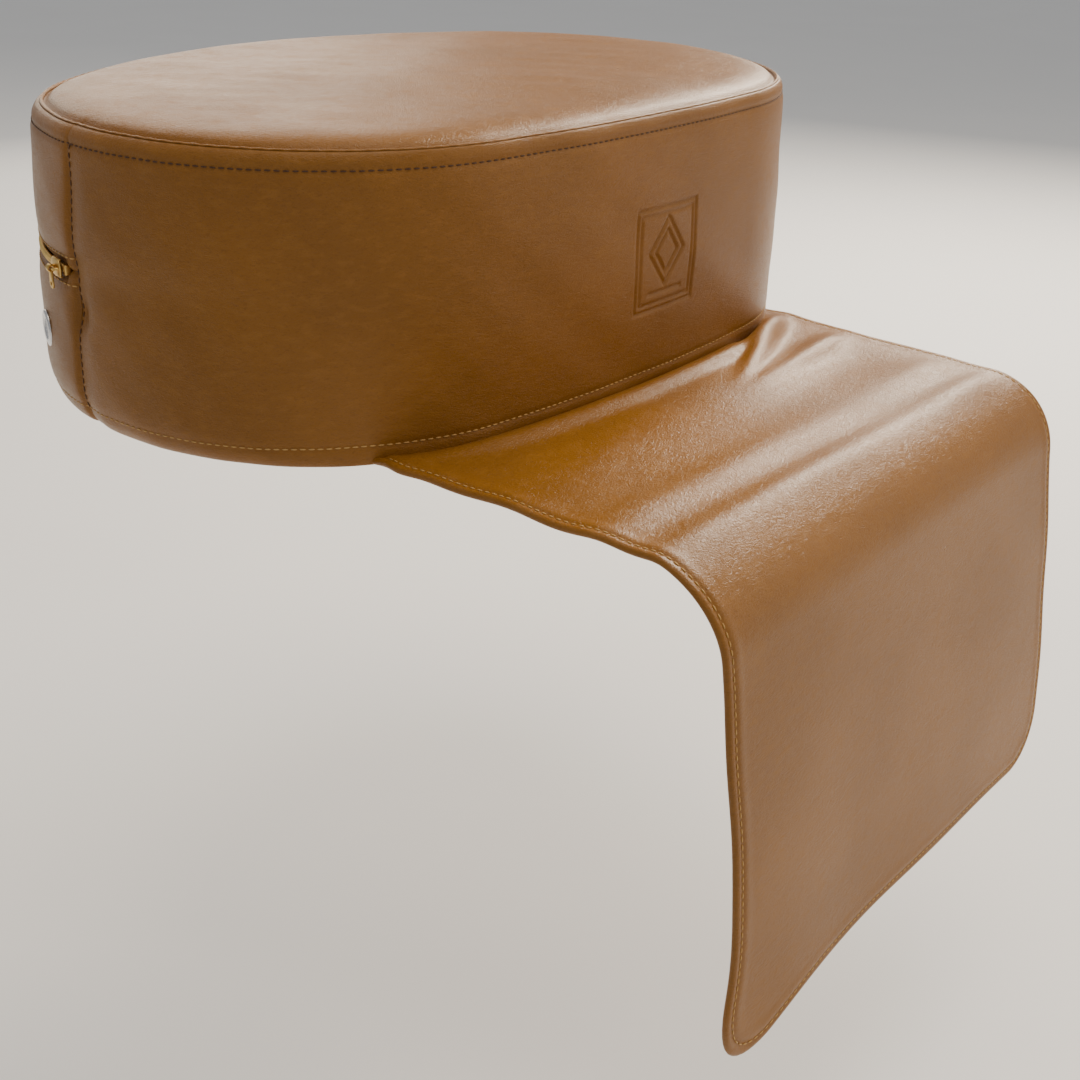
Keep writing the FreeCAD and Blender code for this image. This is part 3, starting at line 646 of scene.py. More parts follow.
def emblem(along, height):
    """Depth of the mark pressed into the front: a plain frame with a diamond in it, -1 to 0."""
    middle, half_wide, half_high = MARK_PLACE, 25.5 * MM, 26.5 * MM
    line, gap = 0.95 * MM, 3.2 * MM
    x, z = along - middle, height - 70.5 * MM
    box = np.maximum(np.abs(x) / half_wide, np.abs(z) / half_high)
    reach = (box - 1) * half_wide
    pressed = gauss(reach, line)
    pressed = np.maximum(pressed, 0.85 * gauss(reach + gap, line) * (box < 1))
    for size in (14.5 * MM, 9 * MM):
        diamond = (np.abs(x) + np.abs(z - 3 * MM) * 0.8 - size) / 1.28
        pressed = np.maximum(pressed, gauss(diamond, line))
    bar = gauss(z + 18 * MM, line) * (1 - ease(np.abs(x), 14 * MM, 16 * MM))
    return -np.maximum(pressed, bar)


def cushion():
    """The cushion's sizes, its plan and its wall."""
    sizes = bpy.context.scene.booster_cushion
    plan = Plan(sizes)
    return sizes, plan, Wall(plan)


def push(points, plan, walk, out):
    """Move a band's points in or out along the plan's normals."""
    points[..., :2] += plan.at(walk)[1][None] * out[..., None]


class BOOSTER_OT_front_band(bpy.types.Operator):
    """Make the wall round the front, from upright seam to upright seam"""

    bl_idname = "booster.front_band"
    bl_label = "Front band"

    def execute(self, context):
        _, plan, wall = cushion()
        near_mark = (MARK_PLACE - MARK_REACH, MARK_PLACE + MARK_REACH, 0.75 * MM)
        walk = walk_steps(-plan.seam, plan.seam, COLUMN, [near_mark])
        rise, end = 7.2 * MM, wall.top - wall.shoulder
        height = heights(wall, walk, [(z * MM - rise) / (end - rise) for z in np.arange(39, 102, 0.8)])
        points = wall.surface(walk + 0 * height, height)
        pressed = emblem(points[..., 0], points[..., 2]) * (points[..., 1] < 0)
        push(points, plan, walk, pressed * 1.0 * MM)
        leather_piece("front_band_cover", points, grid_faces(*height.shape), "front_band")
        return {"FINISHED"}


class BOOSTER_OT_rear_bands(bpy.types.Operator):
    """Make the wall round the back, above and below the zip"""

    bl_idname = "booster.rear_bands"
    bl_label = "Rear bands"

    def execute(self, context):
        _, plan, wall = cushion()
        near = plan.left_corner(ZIP_SEWN_SHUT)
        mouth_end = (near - 3 * MM, near + 1.6 * MM, 0.4 * MM)
        walk = walk_steps(plan.seam, plan.length - plan.seam, COLUMN, [mouth_end])
        gap = self.mouth(plan, walk, near)
        full = heights(wall, walk)
        split = wall.zip_height
        shares = 1 - np.cos(np.linspace(0, math.pi / 2, 12))[:-1]
        for name, way in (("rear_band_upper", 1), ("rear_band_lower", -1)):
            edge = split + way * gap
            rows = [row for row in full if (way * (row - split) > 7 * MM).all()][::way]
            lip = [edge + (rows[0] - edge) * share for share in shares]
            height = np.array((lip + rows)[::way])
            points = wall.surface(walk + 0 * height, height)
            tuck = gauss(height - edge, 1.6 * MM) * 1.2 * MM + gauss(height - edge, 0.7 * MM) * 0.5 * MM
            push(points, plan, walk, -tuck)
            leather_piece(name + "_cover", points, grid_faces(*height.shape), name)
        return {"FINISHED"}

    def mouth(self, plan, walk, near):
        """Half the gap between the bands: open along the zip, sewn shut past it."""
        far = plan.left_corner(ZIP_FAR_END)
        open_share = ease(walk, far - 0.5 * MM, far + 5.5 * MM)
        open_share = open_share * (1 - ease(walk, near - 1.4 * MM, near + 0.6 * MM))
        return (0.12 + 4.1 * open_share) * MM


class BOOSTER_OT_top_panel(bpy.types.Operator):
    """Make the crowned top, with its raised seam"""

    bl_idname = "booster.top_panel"
    bl_label = "Top panel"

    def execute(self, context):
        sizes, plan, wall = cushion()
        count = 560
        walk = np.arange(count) * plan.length / count
        base, normal = plan.at(walk)
        rim = base + normal * (wall.offset(walk, wall.top) - wall.depth(walk))[:, None]
        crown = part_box("top_panel")[1].z - wall.top
        bead = 1.0 * MM
        pulls = 0.12 * MM * np.cos(math.pi * walk / sizes.stitch_pitch)
        rows = [(bead * (1 + math.sin(turn)) - 0.3 * MM, wall.top - 0.1 * MM + bead * math.cos(turn) + pulls)
                for turn in np.radians([-75, -40, 0, 40, 75, 105, 135])]
        for inset in np.array([2.6, 3.4, 4.4, 5.6, 7.2, 9, 11, 13.5, 16.5, 20, 24, 29, 35, 42]) * MM:
            dip = -1.1 * MM * gauss(inset - 3.0 * MM, 1.6 * MM)
            rise = crown * 0.84 * (1 - np.exp(-np.maximum(inset - 2.4 * MM, 0) / (8.5 * MM)))
            rows.append((inset, wall.top + dip + rise))
        points = [np.c_[rim - normal * inset, np.broadcast_to(z, walk.shape)] for inset, z in rows]
        points = np.array(points + list(inwards(points[-1], 34, crown * 0.17)))
        soft = ease(np.arange(len(points)), 10, 24)[:, None] * MM
        points[..., 2] += soft * 0.45 * ripple(points[..., 0], points[..., 1], 11, 8, 0.05, 0.16)
        points[..., 2] += soft * 0.18 * ripple(points[..., 0], points[..., 1], 12, 9, 0.018, 0.05)
        leather_piece("top_panel_cover", *disc(points), "top_panel", "wadding", "foam_core", fill=0.85)
        return {"FINISHED"}


class BOOSTER_OT_bottom_panel(bpy.types.Operator):
    """Make the dark underside"""

    bl_idname = "booster.bottom_panel"
    bl_label = "Bottom panel"

    def execute(self, context):
        _, plan, wall = cushion()
        count = 400
        walk = np.arange(count) * plan.length / count
        rim = wall.surface(walk, np.full(count, 0.3 * MM))[:, :2]
        _, normal = plan.at(walk)
        edge = ((0.2, 1.6), (0.5, 0.9), (1.2, 0.35), (3, 0.12), (8, 0.04), (16, 0.02))
        points = [np.c_[rim - normal * inset * MM, np.full(count, z * MM)] for inset, z in edge]
        flat, faces = disc(np.array(points + list(inwards(points[-1], 14))))
        made = new_object("bottom_panel_cover",
                          mesh_from("bottom_panel_cover", flat, [face[::-1] for face in faces]),
                          material("Non-slip cloth", base_cloth))
        declare(skin(made, BASE_CLOTH), "root", "base_cloth", "bottom_panel", fill=0.9)
        return {"FINISHED"}


class BOOSTER_OT_cushion_stitches(bpy.types.Operator):
    """Sew the cushion's seams"""

    bl_idname = "booster.cushion_stitches"
    bl_label = "Cushion stitches"

    def execute(self, context):
        sizes, plan, wall = cushion()
        walk = np.linspace(0, plan.length, 1300)
        low, high = sizes.foot_stitch, wall.top - sizes.top_stitch_drop
        # the top and upright rows lie in grooves and take the thread darkened with painted shade
        for name, height, shaded in (("top_seam", high, True), ("foot_seam", low, False)):
            self.sew(name, [self.row(wall, walk, height)], shaded)
        up = np.linspace(low + 2 * MM, high - 1 * MM, 260)
        for name, side in (("left_seam", -1), ("right_seam", 1)):
            self.sew(name, [self.row(wall, side * (plan.seam - 2.6 * MM), up)], True)
        far = np.linspace(plan.seam + 3 * MM, plan.left_corner(68), 700)
        around = np.linspace(plan.left_corner(66.2), plan.left_corner(7.9), 500)
        for name, walk, rise in (("rear_seam_stitches", far, 2.6 * MM), ("zip_stitches", around, 6.6 * MM)):
            rows = [self.row(wall, walk, wall.zip_height + way * rise) for way in (1, -1)]
            declare(stitches(name, *rows), "root", "thread")
        return {"FINISHED"}

    def row(self, wall, walk, height):
        """A path on the wall, just above its face."""
        walk, height = np.broadcast_arrays(walk, height)
        return wall.surface(walk, height, -WALL_PATH)

    def sew(self, name, rows, shaded):
        declare(stitches(name + "_stitches", *rows, shaded=shaded), "root", "thread", name + "_thread")


# ------------------------------------------------------------------ zip, slider, pull and vent
def corner_axes(degrees):
    """Along, up and outward directions on the left back corner."""
    turn = math.radians(degrees)
    outward_axis = Vector((-math.cos(turn), math.sin(turn), 0))
    along = Vector((math.sin(turn), math.cos(turn), 0))
    return along, Vector((0, 0, 1)), outward_axis


def prism(name, outline, depth, bevel, axes, origin, finish, hole=None):
    """A flat plate with rounded edges: its outline lies along and up, its depth points outwards."""
    along, up, out = axes
    count = len(outline)
    points, faces = [], []

    def put(ring, level):
        first = len(points)
        points.extend(origin + along * a + up * b + out * level for a, b in ring)
        return first

    low, high = put(outline, 0.0), put(outline, depth)
    if hole is None:
        faces += [tuple(range(low, low + count))[::-1], tuple(range(high, high + count))]
    else:
        low_hole, high_hole = put(hole, 0.0), put(hole, depth)
        for i in range(count):
            j = (i + 1) % count
            faces += [(low + j, low + i, low_hole + i, low_hole + j),
                      (high + i, high + j, high_hole + j, high_hole + i),
                      (low_hole + j, low_hole + i, high_hole + i, high_hole + j)]
    for i in range(count):
        j = (i + 1) % count
        faces.append((low + i, low + j, high + j, high + i))
    made = new_object(name, mesh_from(name, points, faces), finish)
    outward(made)
    edge = made.modifiers.new("Edge", "BEVEL")
    edge.width = bevel
    edge.segments = 3
    edge.limit_method = "ANGLE"
    edge.angle_limit = math.radians(50)
    freeze(made)
    made.data.set_sharp_from_angle(angle=math.radians(50))
    return made


def rounded_box(half_long, half_high, radius, steps=6):
    """An outline with round corners, anticlockwise."""
    outline = []
    for k, (sx, sy) in enumerate(((1, 1), (-1, 1), (-1, -1), (1, -1))):
        for turn in np.linspace(k * math.pi / 2, (k + 1) * math.pi / 2, steps):
            outline.append((sx * (half_long - radius) + radius * math.cos(turn),
                            sy * (half_high - radius) + radius * math.sin(turn)))
    return outline


def tube(name, centres, radius, finish, sides=14):
    """A round bar through a list of centres, closed at both ends."""
    centres = np.array([tuple(c) for c in centres])
    ways = np.gradient(centres, axis=0)
    ways /= np.linalg.norm(ways, axis=1)[:, None]
    across = np.cross(ways, ways[len(ways) // 2] + np.array([0.3, 0.2, 0.9]))
    across /= np.linalg.norm(across, axis=1)[:, None]
    other = np.cross(ways, across)
    turns = np.linspace(0, 2 * math.pi, sides, endpoint=False)
    rings = [c + radius * (np.outer(np.cos(turns), a) + np.outer(np.sin(turns), b))
             for c, a, b in zip(centres, across, other)]
    points = np.array(rings).reshape(-1, 3)
    faces = grid_faces(len(centres), sides, closed=True)
    faces += [tuple(range(sides))[::-1], tuple(range(len(points) - sides, len(points)))]
    return outward(new_object(name, mesh_from(name, points, faces, sharp=50), finish))


def lathe(name, profile, axes, origin, finish, sides=64):
    """Turn a closed profile of (radius, outward distance) about the outward axis."""
    along, up, out = axes
    points = []
    for radius, level in profile:
        for turn in np.linspace(0, 2 * math.pi, sides, endpoint=False):
            points.append(origin + along * (radius * math.cos(turn)) + up * (radius * math.sin(turn))
                          + out * level)
    rows = len(profile)
    faces = grid_faces(rows, sides, closed=True)
    last = (rows - 1) * sides
    faces += [(last + c, last + (c + 1) % sides, (c + 1) % sides, c) for c in range(sides)]
    return outward(new_object(name, mesh_from(name, points, faces, sharp=60), finish))


def fuse(name, *parts):
    """Join finished pieces into one object."""
    points, faces = [], []
    for part in parts:
        first = len(points)
        points += [tuple(v.co) for v in part.data.vertices]
        faces += [tuple(first + i for i in p.vertices) for p in part.data.polygons]
    made = new_object(name, mesh_from(name, points, faces, sharp=50), parts[0].data.materials[0])
    for part in parts:
        bpy.data.objects.remove(part)
    return made


class BOOSTER_OT_zip(bpy.types.Operator):
    """Make the zip's teeth, stops, slider and pull"""

    bl_idname = "booster.zip"
    bl_label = "Zip"

    first_tooth: angle("First tooth", "How far round the corner", 10.9)
    last_tooth: angle("Last tooth", "How far round the corner", 62.6)
    slider: angle("Slider", "How far round the corner when closed", 12.8)

    def execute(self, context):
        _, plan, wall = cushion()
        self.metal = material("Brass", brass)
        self.chain = plan.arcs[4][1] - 0.5 * MM
        self.middle = wall.zip_height
        self.corner = plan.corner
        self.closed = math.degrees(self.slider)
        first, last = math.degrees(self.first_tooth), math.degrees(self.last_tooth)
        pitch = 2.1 * MM
        half = math.degrees(pitch / 2 / self.chain)
        for name, shift, lift in (("zip_teeth_upper", 0.0, 0.75), ("zip_teeth_lower", half, -0.75)):
            turns = np.linspace(first + shift, last + shift - half, 300)
            path = [self.spot(t, self.chain, lift * MM) for t in turns]
            made = repeat_along(name + "_row", [path], pitch, 1.5 * MM, 2.9 * MM, 10, self.metal)
            declare(made, "root", "brass", name)
        for name, turn in (("zip_top_stop", first - 0.95), ("zip_bottom_stop", last + 0.95)):
            made = prism(name + "_clamp", rounded_box(1.3 * MM, 2.4 * MM, 0.7 * MM), 2.9 * MM, 0.4 * MM,
                         corner_axes(turn), self.spot(turn, self.chain - 1.3 * MM), self.metal)
            declare(made, "root", "brass", name)
        self.make_slider()
        self.make_pull()
        tape = material("Zip tape", zip_cloth)
        for name in ("zip_tape_upper", "zip_tape_lower"):
            node = frame["nodes"][name]
            node.data.materials.clear()
            node.data.materials.append(tape)
        return {"FINISHED"}

    def spot(self, degrees, radius, lift=0.0):
        """A place on the chain's corner, lifted from the chain's middle."""
        turn = math.radians(degrees)
        return Vector((self.corner.x - radius * math.cos(turn), self.corner.y + radius * math.sin(turn),
                       self.middle + lift))

    def make_slider(self):
        axes = corner_axes(self.closed)
        along, _, out = axes
        back = self.chain - 2.1 * MM
        shield = [(-5.9, 2.6), (-5.9, -2.6), (-4.6, -4.0), (1.0, -4.4), (4.6, -3.6), (5.9, -1.6),
                  (5.9, 1.6), (4.6, 3.6), (1.0, 4.4), (-4.6, 4.0)]
        shield = [(a * MM, b * MM) for a, b in shield]
        web = rounded_box(2.6 * MM, 0.45 * MM, 0.3 * MM)
        strip = ((-4.4, -0.35), (4.2, -0.35), (4.2, 0.35), (-4.4, 0.35))
        rails = [[(a * MM, (side * 4.1 + b) * MM) for a, b in strip] for side in (-1, 1)]
        plates = (("slider_back", shield, 1.1, 0.45, back - 1.1 * MM),
                  ("slider_front", shield, 1.1, 0.45, self.chain + 1.9 * MM),
                  ("slider_web", web, 5.2, 0.1, back - 0.5 * MM),
                  *(("slider_rail", rail, 1.4, 0.25, self.chain + 1.1 * MM) for rail in rails))
        parts = [prism(name, outline, depth * MM, bevel * MM, axes, self.spot(self.closed, level), self.metal)
                 for name, outline, depth, bevel, level in plates]
        declare(fuse("slider_body", *parts), "slider", "brass", "zip_slider")
        base = self.spot(self.closed, self.chain + 2.9 * MM)
        arch = [(-4.0, -0.4), (-3.9, 0.9), (-3.4, 1.8), (-2.5, 2.25), (0, 2.4), (2.5, 2.25), (3.4, 1.8),
                (3.9, 0.9), (4.0, -0.4)]
        arch = [base + along * (a * MM) + out * (b * MM) for a, b in arch]
        declare(tube("slider_arch", arch, 0.72 * MM, self.metal), "slider", "brass", "slider_bridge")

    def make_pull(self):
        axes = corner_axes(self.closed)
        along, up, out = axes
        pivot = self.spot(self.closed, self.chain + 5.3 * MM)
        turns = np.linspace(0, 2 * math.pi, 28)[:-1]
        eye, bore = ([(radius * math.cos(t), radius * math.sin(t)) for t in turns]
                     for radius in (1.95 * MM, 1.15 * MM))
        curl = prism("pull_eye", eye, 2.8 * MM, 0.3 * MM, (out, up, -along), pivot + along * (1.4 * MM),
                     self.metal, hole=bore)
        tongue, hole = [], []
        for t in np.linspace(0, 2 * math.pi, 40, endpoint=False):
            wide = 2.2 if math.sin(t) < 0 else 1.75
            tongue.append((wide * MM * math.copysign(abs(math.cos(t)) ** 0.6, math.cos(t)),
                           (-5.6 + 4.3 * math.copysign(abs(math.sin(t)) ** 0.75, math.sin(t))) * MM))
            hole.append((1.0 * MM * math.cos(t), (-7.4 + 1.0 * math.sin(t)) * MM))
        plate = prism("pull_plate", tongue, 1.1 * MM, 0.32 * MM, axes, pivot - out * (0.55 * MM), self.metal,
                      hole=hole)
        declare(fuse("pull", curl, plate), "tab", "brass", "pull_tab")


class BOOSTER_OT_vent(bpy.types.Operator):
    """Make the air vent below the zip"""

    bl_idname = "booster.vent"
    bl_label = "Vent"

    turn: angle("Angle", "How far round the corner", 22)

    def execute(self, context):
        _, plan, wall = cushion()
        turn = math.degrees(self.turn)
        low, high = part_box("vent_eyelet")
        height = (low.z + high.z) / 2
        centre = Vector(wall.surface(np.array([plan.left_corner(turn)]), np.array([height]))[0])
        axes = corner_axes(turn)
        metal = material("Nickel", nickel)
        rim = [(9.0, 0.0), (9.15, 0.45), (8.8, 0.95), (8.0, 1.3), (7.0, 1.4), (6.0, 1.3), (5.3, 0.95),
               (5.0, 0.3), (5.0, -2.0), (5.5, -2.0), (5.6, -0.2)]
        ring = [(5.6, -2.4), (8.5, -2.4), (8.5, -1.8), (5.6, -1.8)]
        for name, profile, node in (("vent_rim", rim, "vent_eyelet"),
                                    ("vent_inner_ring", ring, "vent_washer")):
            made = lathe(name, [(r * MM, z * MM) for r, z in profile], axes, centre, metal)
            declare(made, "root", "bright_metal", node)
        self.make_screen(axes, centre + axes[2] * (0.45 * MM), metal)
        return {"FINISHED"}

    def make_screen(self, axes, centre, metal):
        """Crossed wires inside the eyelet, on a thin disc."""
        along, up, out = axes
        radius = 5.0 * MM
        parts = []
        for shift in np.arange(-4.2, 4.3, 1.05) * MM:
            half = math.sqrt(radius ** 2 - shift ** 2)
            for first, second, level in ((along, up, 0.0), (up, along, 0.12 * MM)):
                ends = [centre + first * shift + second * (half * share) + out * level
                        for share in (-1, -0.33, 0.33, 1)]
                parts.append(tube("wire", ends, 0.16 * MM, metal, sides=6))
        plate = [(0.02, -0.5), (4.98, -0.5), (4.98, -0.25), (0.02, -0.25)]
        backing = lathe("vent_backing", [(r * MM, z * MM) for r, z in plate], axes, centre, metal, sides=40)
        declare(fuse("vent_mesh", *parts, backing), "root", "screen", "vent_screen")

# ------------------------------------------------------------------ the flap
# the flap's folds, in mm: from (x, s) to (x, s), width and height; s runs along the cloth
FOLDS = (
    ((150, 156), (24, 207), 6.0, 6.0),
    ((158, 198), (24, 211), 7.5, 4.2),
    ((126, 150), (80, 172), 6.0, -2.6),
    ((130, 226), (-20, 236), 15.0, -1.6),
    ((-30, 196), (-150, 222), 17.0, 1.6),
)


class Flap:
    """The flap's middle surface: lying on the seat, bent over its edge, and hanging."""

    def __init__(self, sizes, plan):
        self.sizes = sizes
        self.plan = plan
        self.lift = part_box("flap_lining_seat")[0].z
        self.roll = -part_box("flap_lining_roll")[1].y
        self.middle = self.lift + sizes.thickness / 2
        self.radius = sizes.bend_radius + sizes.thickness / 2
        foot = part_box("flap_skin_apron")
        bend = next(joint for joint in frame["joints"] if joint["name"] == "apron_bend")
        self.turn = math.radians(bend["range_deg"][1])
        self.arc = self.radius * self.turn
        roll_end = self.middle - self.radius + self.radius * math.cos(self.turn)
        self.foot = self.roll + self.arc + (roll_end - foot[0].z) / math.sin(self.turn) - 0.5 * MM

    def half_width(self, s):
        sizes = self.sizes
        near, far = ROOT_START, self.roll
        lying = sizes.root_width + (sizes.fold_width - sizes.root_width) * (s - near) / (far - near)
        hanging = sizes.fold_width + (sizes.foot_width - sizes.fold_width) * (s - far) / (self.foot - far)
        return np.where(s < far, lying, hanging) / 2

    def wall_line(self, x):
        """How far in front of the middle the cushion's foot stands, at x."""
        walk = np.linspace(-0.30, 0.30, 1200)
        points, normal = self.plan.at(walk)
        rim = points - normal * 1.8 * MM
        return -np.interp(x, rim[:, 0], rim[:, 1])

    def base(self, x, s):
        """Point and upward normal of the surface before its creases."""
        bend = np.clip((s - self.roll) / self.radius, 0, self.turn)
        past = np.maximum(s - self.roll - self.arc, 0)
        lying = np.minimum(s, self.roll)
        y = -lying - self.radius * np.sin(bend) - past * math.cos(self.turn)
        z = self.middle - self.radius * (1 - np.cos(bend)) - past * math.sin(self.turn)
        normal = np.stack([0 * x, -np.sin(bend), np.cos(bend)], -1)
        return np.stack([x, y, z], -1), normal

    def creases(self, x, s):
        """How far the cloth stands off: a roll at the seam, folds, ridges at the bend, waves at the hems."""
        gone = s - self.wall_line(x)
        left, right = self.half_width(s) + x, self.half_width(s) - x
        lying = 1 - ease(s, self.roll - 30 * MM, self.roll)
        out = 4.3 * MM * gauss(gone - 12 * MM, 7 * MM) - 1.0 * MM * gauss(gone - 1 * MM, 3 * MM)
        out = out * (0.25 + 0.75 * ease(left, 2 * MM, 60 * MM)) * ease(right, 6 * MM, 60 * MM)
        folds = sum(self.fold(x, s, *fold) for fold in FOLDS)
        folds = folds + lying * ease(gone, 0, 30 * MM) * 0.55 * MM * (1 + ripple(x, s, 21, 7, 0.05, 0.16))
        ridge = 1 + 0.35 * ripple(x, s * 0.3, 22, 4, 0.15, 0.4)
        folds = folds + ridge * 1.7 * MM * gauss(s - self.roll + 27 * MM, 12 * MM)
        folds = folds + ridge * 2.2 * MM * gauss(s - self.roll - 3 * MM, 9.5 * MM)
        folds = folds * (0.12 + 0.88 * ease(right, 3 * MM, 42 * MM))
        out = out + folds * (0.35 + 0.65 * ease(left, 2 * MM, 36 * MM))
        hanging = ease(s, self.roll + 40 * MM, self.roll + 120 * MM)
        out = out + hanging * 1.2 * MM * ripple(x, s * 0.5, 23, 5, 0.16, 0.35)
        near_foot = ease(s, self.foot - 120 * MM, self.foot)
        out = out + near_foot * 0.8 * MM * np.sin(x * 2 * math.pi / (150 * MM) + 0.6)
        out = out + lying * 0.5 * MM * (1 + np.sin(s * 2 * math.pi / (52 * MM) + 0.8)) * gauss(left, 22 * MM)
        curl = ease(s, self.foot - 95 * MM, self.foot) ** 2
        return out - curl * 3.0 * MM * gauss(left, 30 * MM) - curl * 1.5 * MM * gauss(right, 60 * MM)

    def fold(self, x, s, start, end, width, height):
        """A ridge that runs from one place to another and dies away at its end."""
        a, b = np.array(start) * MM, np.array(end) * MM
        way = b - a
        reach = math.hypot(*way)
        way = way / reach
        along = (x - a[0]) * way[0] + (s - a[1]) * way[1]
        aside = (x - a[0]) * -way[1] + (s - a[1]) * way[0]
        taper = (1 - ease(along, 0.35 * reach, reach)) * ease(along, -0.25 * reach, 0.1 * reach)
        return height * MM * taper * gauss(aside, width * MM * (1.2 - 0.5 * np.clip(along / reach, 0, 1)))

    def surface(self, x, s, inset, side, lift=0.0):
        """Point on the upper (1) or lower (-1) face; inset is the distance from the hem's edge."""
        step = 0.5 * MM
        here = self.raised(x, s)[0]
        across = self.raised(x + step, s)[0] - here
        onward = self.raised(x, s + step)[0] - here
        normal = np.cross(onward, across)
        normal /= np.maximum(np.linalg.norm(normal, axis=-1, keepdims=True), 1e-12)
        half = self.sizes.thickness / 2
        edge = np.clip(1 - inset / (2.3 * MM), 0, 1)
        thick = half * np.sqrt(np.maximum(1 - edge ** 2, 0))
        if side > 0:
            thick = thick - 0.55 * MM * gauss(inset - self.sizes.hem_stitch, 1.2 * MM)
            thick = thick + 0.35 * MM * gauss(inset - 8.0 * MM, 2.6 * MM)
        return here + normal * (thick * side + lift)[..., None]

    def raised(self, x, s):
        point, up = self.base(x, s)
        ear = 2.4 * MM * gauss(s - 152 * MM, 11 * MM) * ease(np.abs(x), 0.12, 0.165)
        sway = 0.6 * MM * np.sin(s * 2 * math.pi / (75 * MM)) * ease(np.abs(x), 0.10, 0.165)
        tip = gauss(np.hypot(x + self.half_width(s), s - self.foot), 38 * MM)
        point = point.copy()
        point[..., 0] += np.sign(x) * (ear + sway) - 13.0 * MM * tip
        point[..., 2] -= 18.0 * MM * tip
        return point + up * self.creases(x, s)[..., None], up


# distances in from the hem's edge at which its rounding is built
HEM = np.array([12, 10, 8.6, 7.4, 6.4, 5.7, 5.1, 4.5, 3.9, 3.2, 2.4, 1.7, 1.0, 0.5, 0.15, 0.0]) * MM


def two_faced(name, flap, chart, faces, rim_rows):
    """A closed sheet from a flat chart of (x, s, inset): two faces that share the hem's edge."""
    x, s, inset = chart.T
    upper, lower = (flap.surface(x, s, inset, side) for side in (1, -1))
    edge = inset < 1e-9
    upper[edge] = (upper[edge] + lower[edge]) / 2
    count = len(chart)
    other = np.where(edge, np.arange(count), np.arange(count) + count)
    closed = list(faces) + [tuple(int(other[i]) for i in reversed(face)) for face in faces]
    for row in rim_rows:
        for a, b in zip(row, row[1:]):
            corners = tuple(dict.fromkeys((a, b, int(other[b]), int(other[a]))))
            if len(corners) > 2:
                closed.append(corners)
    made = new_object(name, mesh_from(name, np.vstack([upper, lower]), closed), leather())
    worked(made, lambda work: bmesh.ops.delete(work, geom=[v for v in work.verts if not v.link_faces],
                                               context="VERTS"))
    made.data.set_sharp_from_angle(angle=math.radians(65))
    return made


def declare_cloth(made, parts):
    """Bake a sheet of the flap into place and hide the flap's parts on the bodies that it covers."""
    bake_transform(made)
    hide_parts(*["flap_%s_%s" % (layer, part) for layer in ("skin", "interlining", "lining")
                        for part in parts])


def sew_hem(name, flap, paths, node):
    """Stitch the flap's hem along flat paths of (x, s)."""
    inset = flap.sizes.hem_stitch
    rows = [flap.surface(x, s, np.full(s.shape, inset), 1, HEM_PATH) for x, s in paths]
    thread = stitches(name, *rows)
    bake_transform(thread)
    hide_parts(node)


class BOOSTER_OT_flap_lying(bpy.types.Operator):
    """Make the part of the flap that lies on the seat"""

    bl_idname = "booster.flap_lying"
    bl_label = "Flap, lying part"

    def execute(self, context):
        sizes = context.scene.booster_flap
        flap = Flap(sizes, Plan(context.scene.booster_cushion))
        rows, between = 60, np.linspace(-1, 1, 150)[1:-1]
        reach = np.concatenate([-np.ones(len(HEM)), between, np.ones(len(HEM))])
        deep = np.concatenate([HEM[::-1], np.full(len(between), HEM[0]), HEM])
        start = flap.wall_line(reach * (sizes.root_width / 2 - deep))
        s = start + (sizes.split - start) * np.linspace(0, 1, rows)[:, None]
        x = reach * (flap.half_width(s) - deep)
        inset = np.broadcast_to(deep + (np.abs(reach) < 1) * MM, s.shape)
        chart = np.stack([x, s, inset], -1).reshape(-1, 3)
        width = len(reach)
        faces = [face[::-1] for face in grid_faces(rows, width)]
        rims = [list(range(width)), list(range((rows - 1) * width, rows * width))]
        made = two_faced("flap_lying", flap, chart, faces, rims)
        declare_cloth(made, ("root", "seat"))
        s = np.linspace(143 * MM, sizes.split, 260)
        half = flap.half_width(s) - sizes.hem_stitch
        sew_hem("hem_stitches_lying", flap, [(-half, s), (half, s)], "hem_thread_seat")
        return {"FINISHED"}


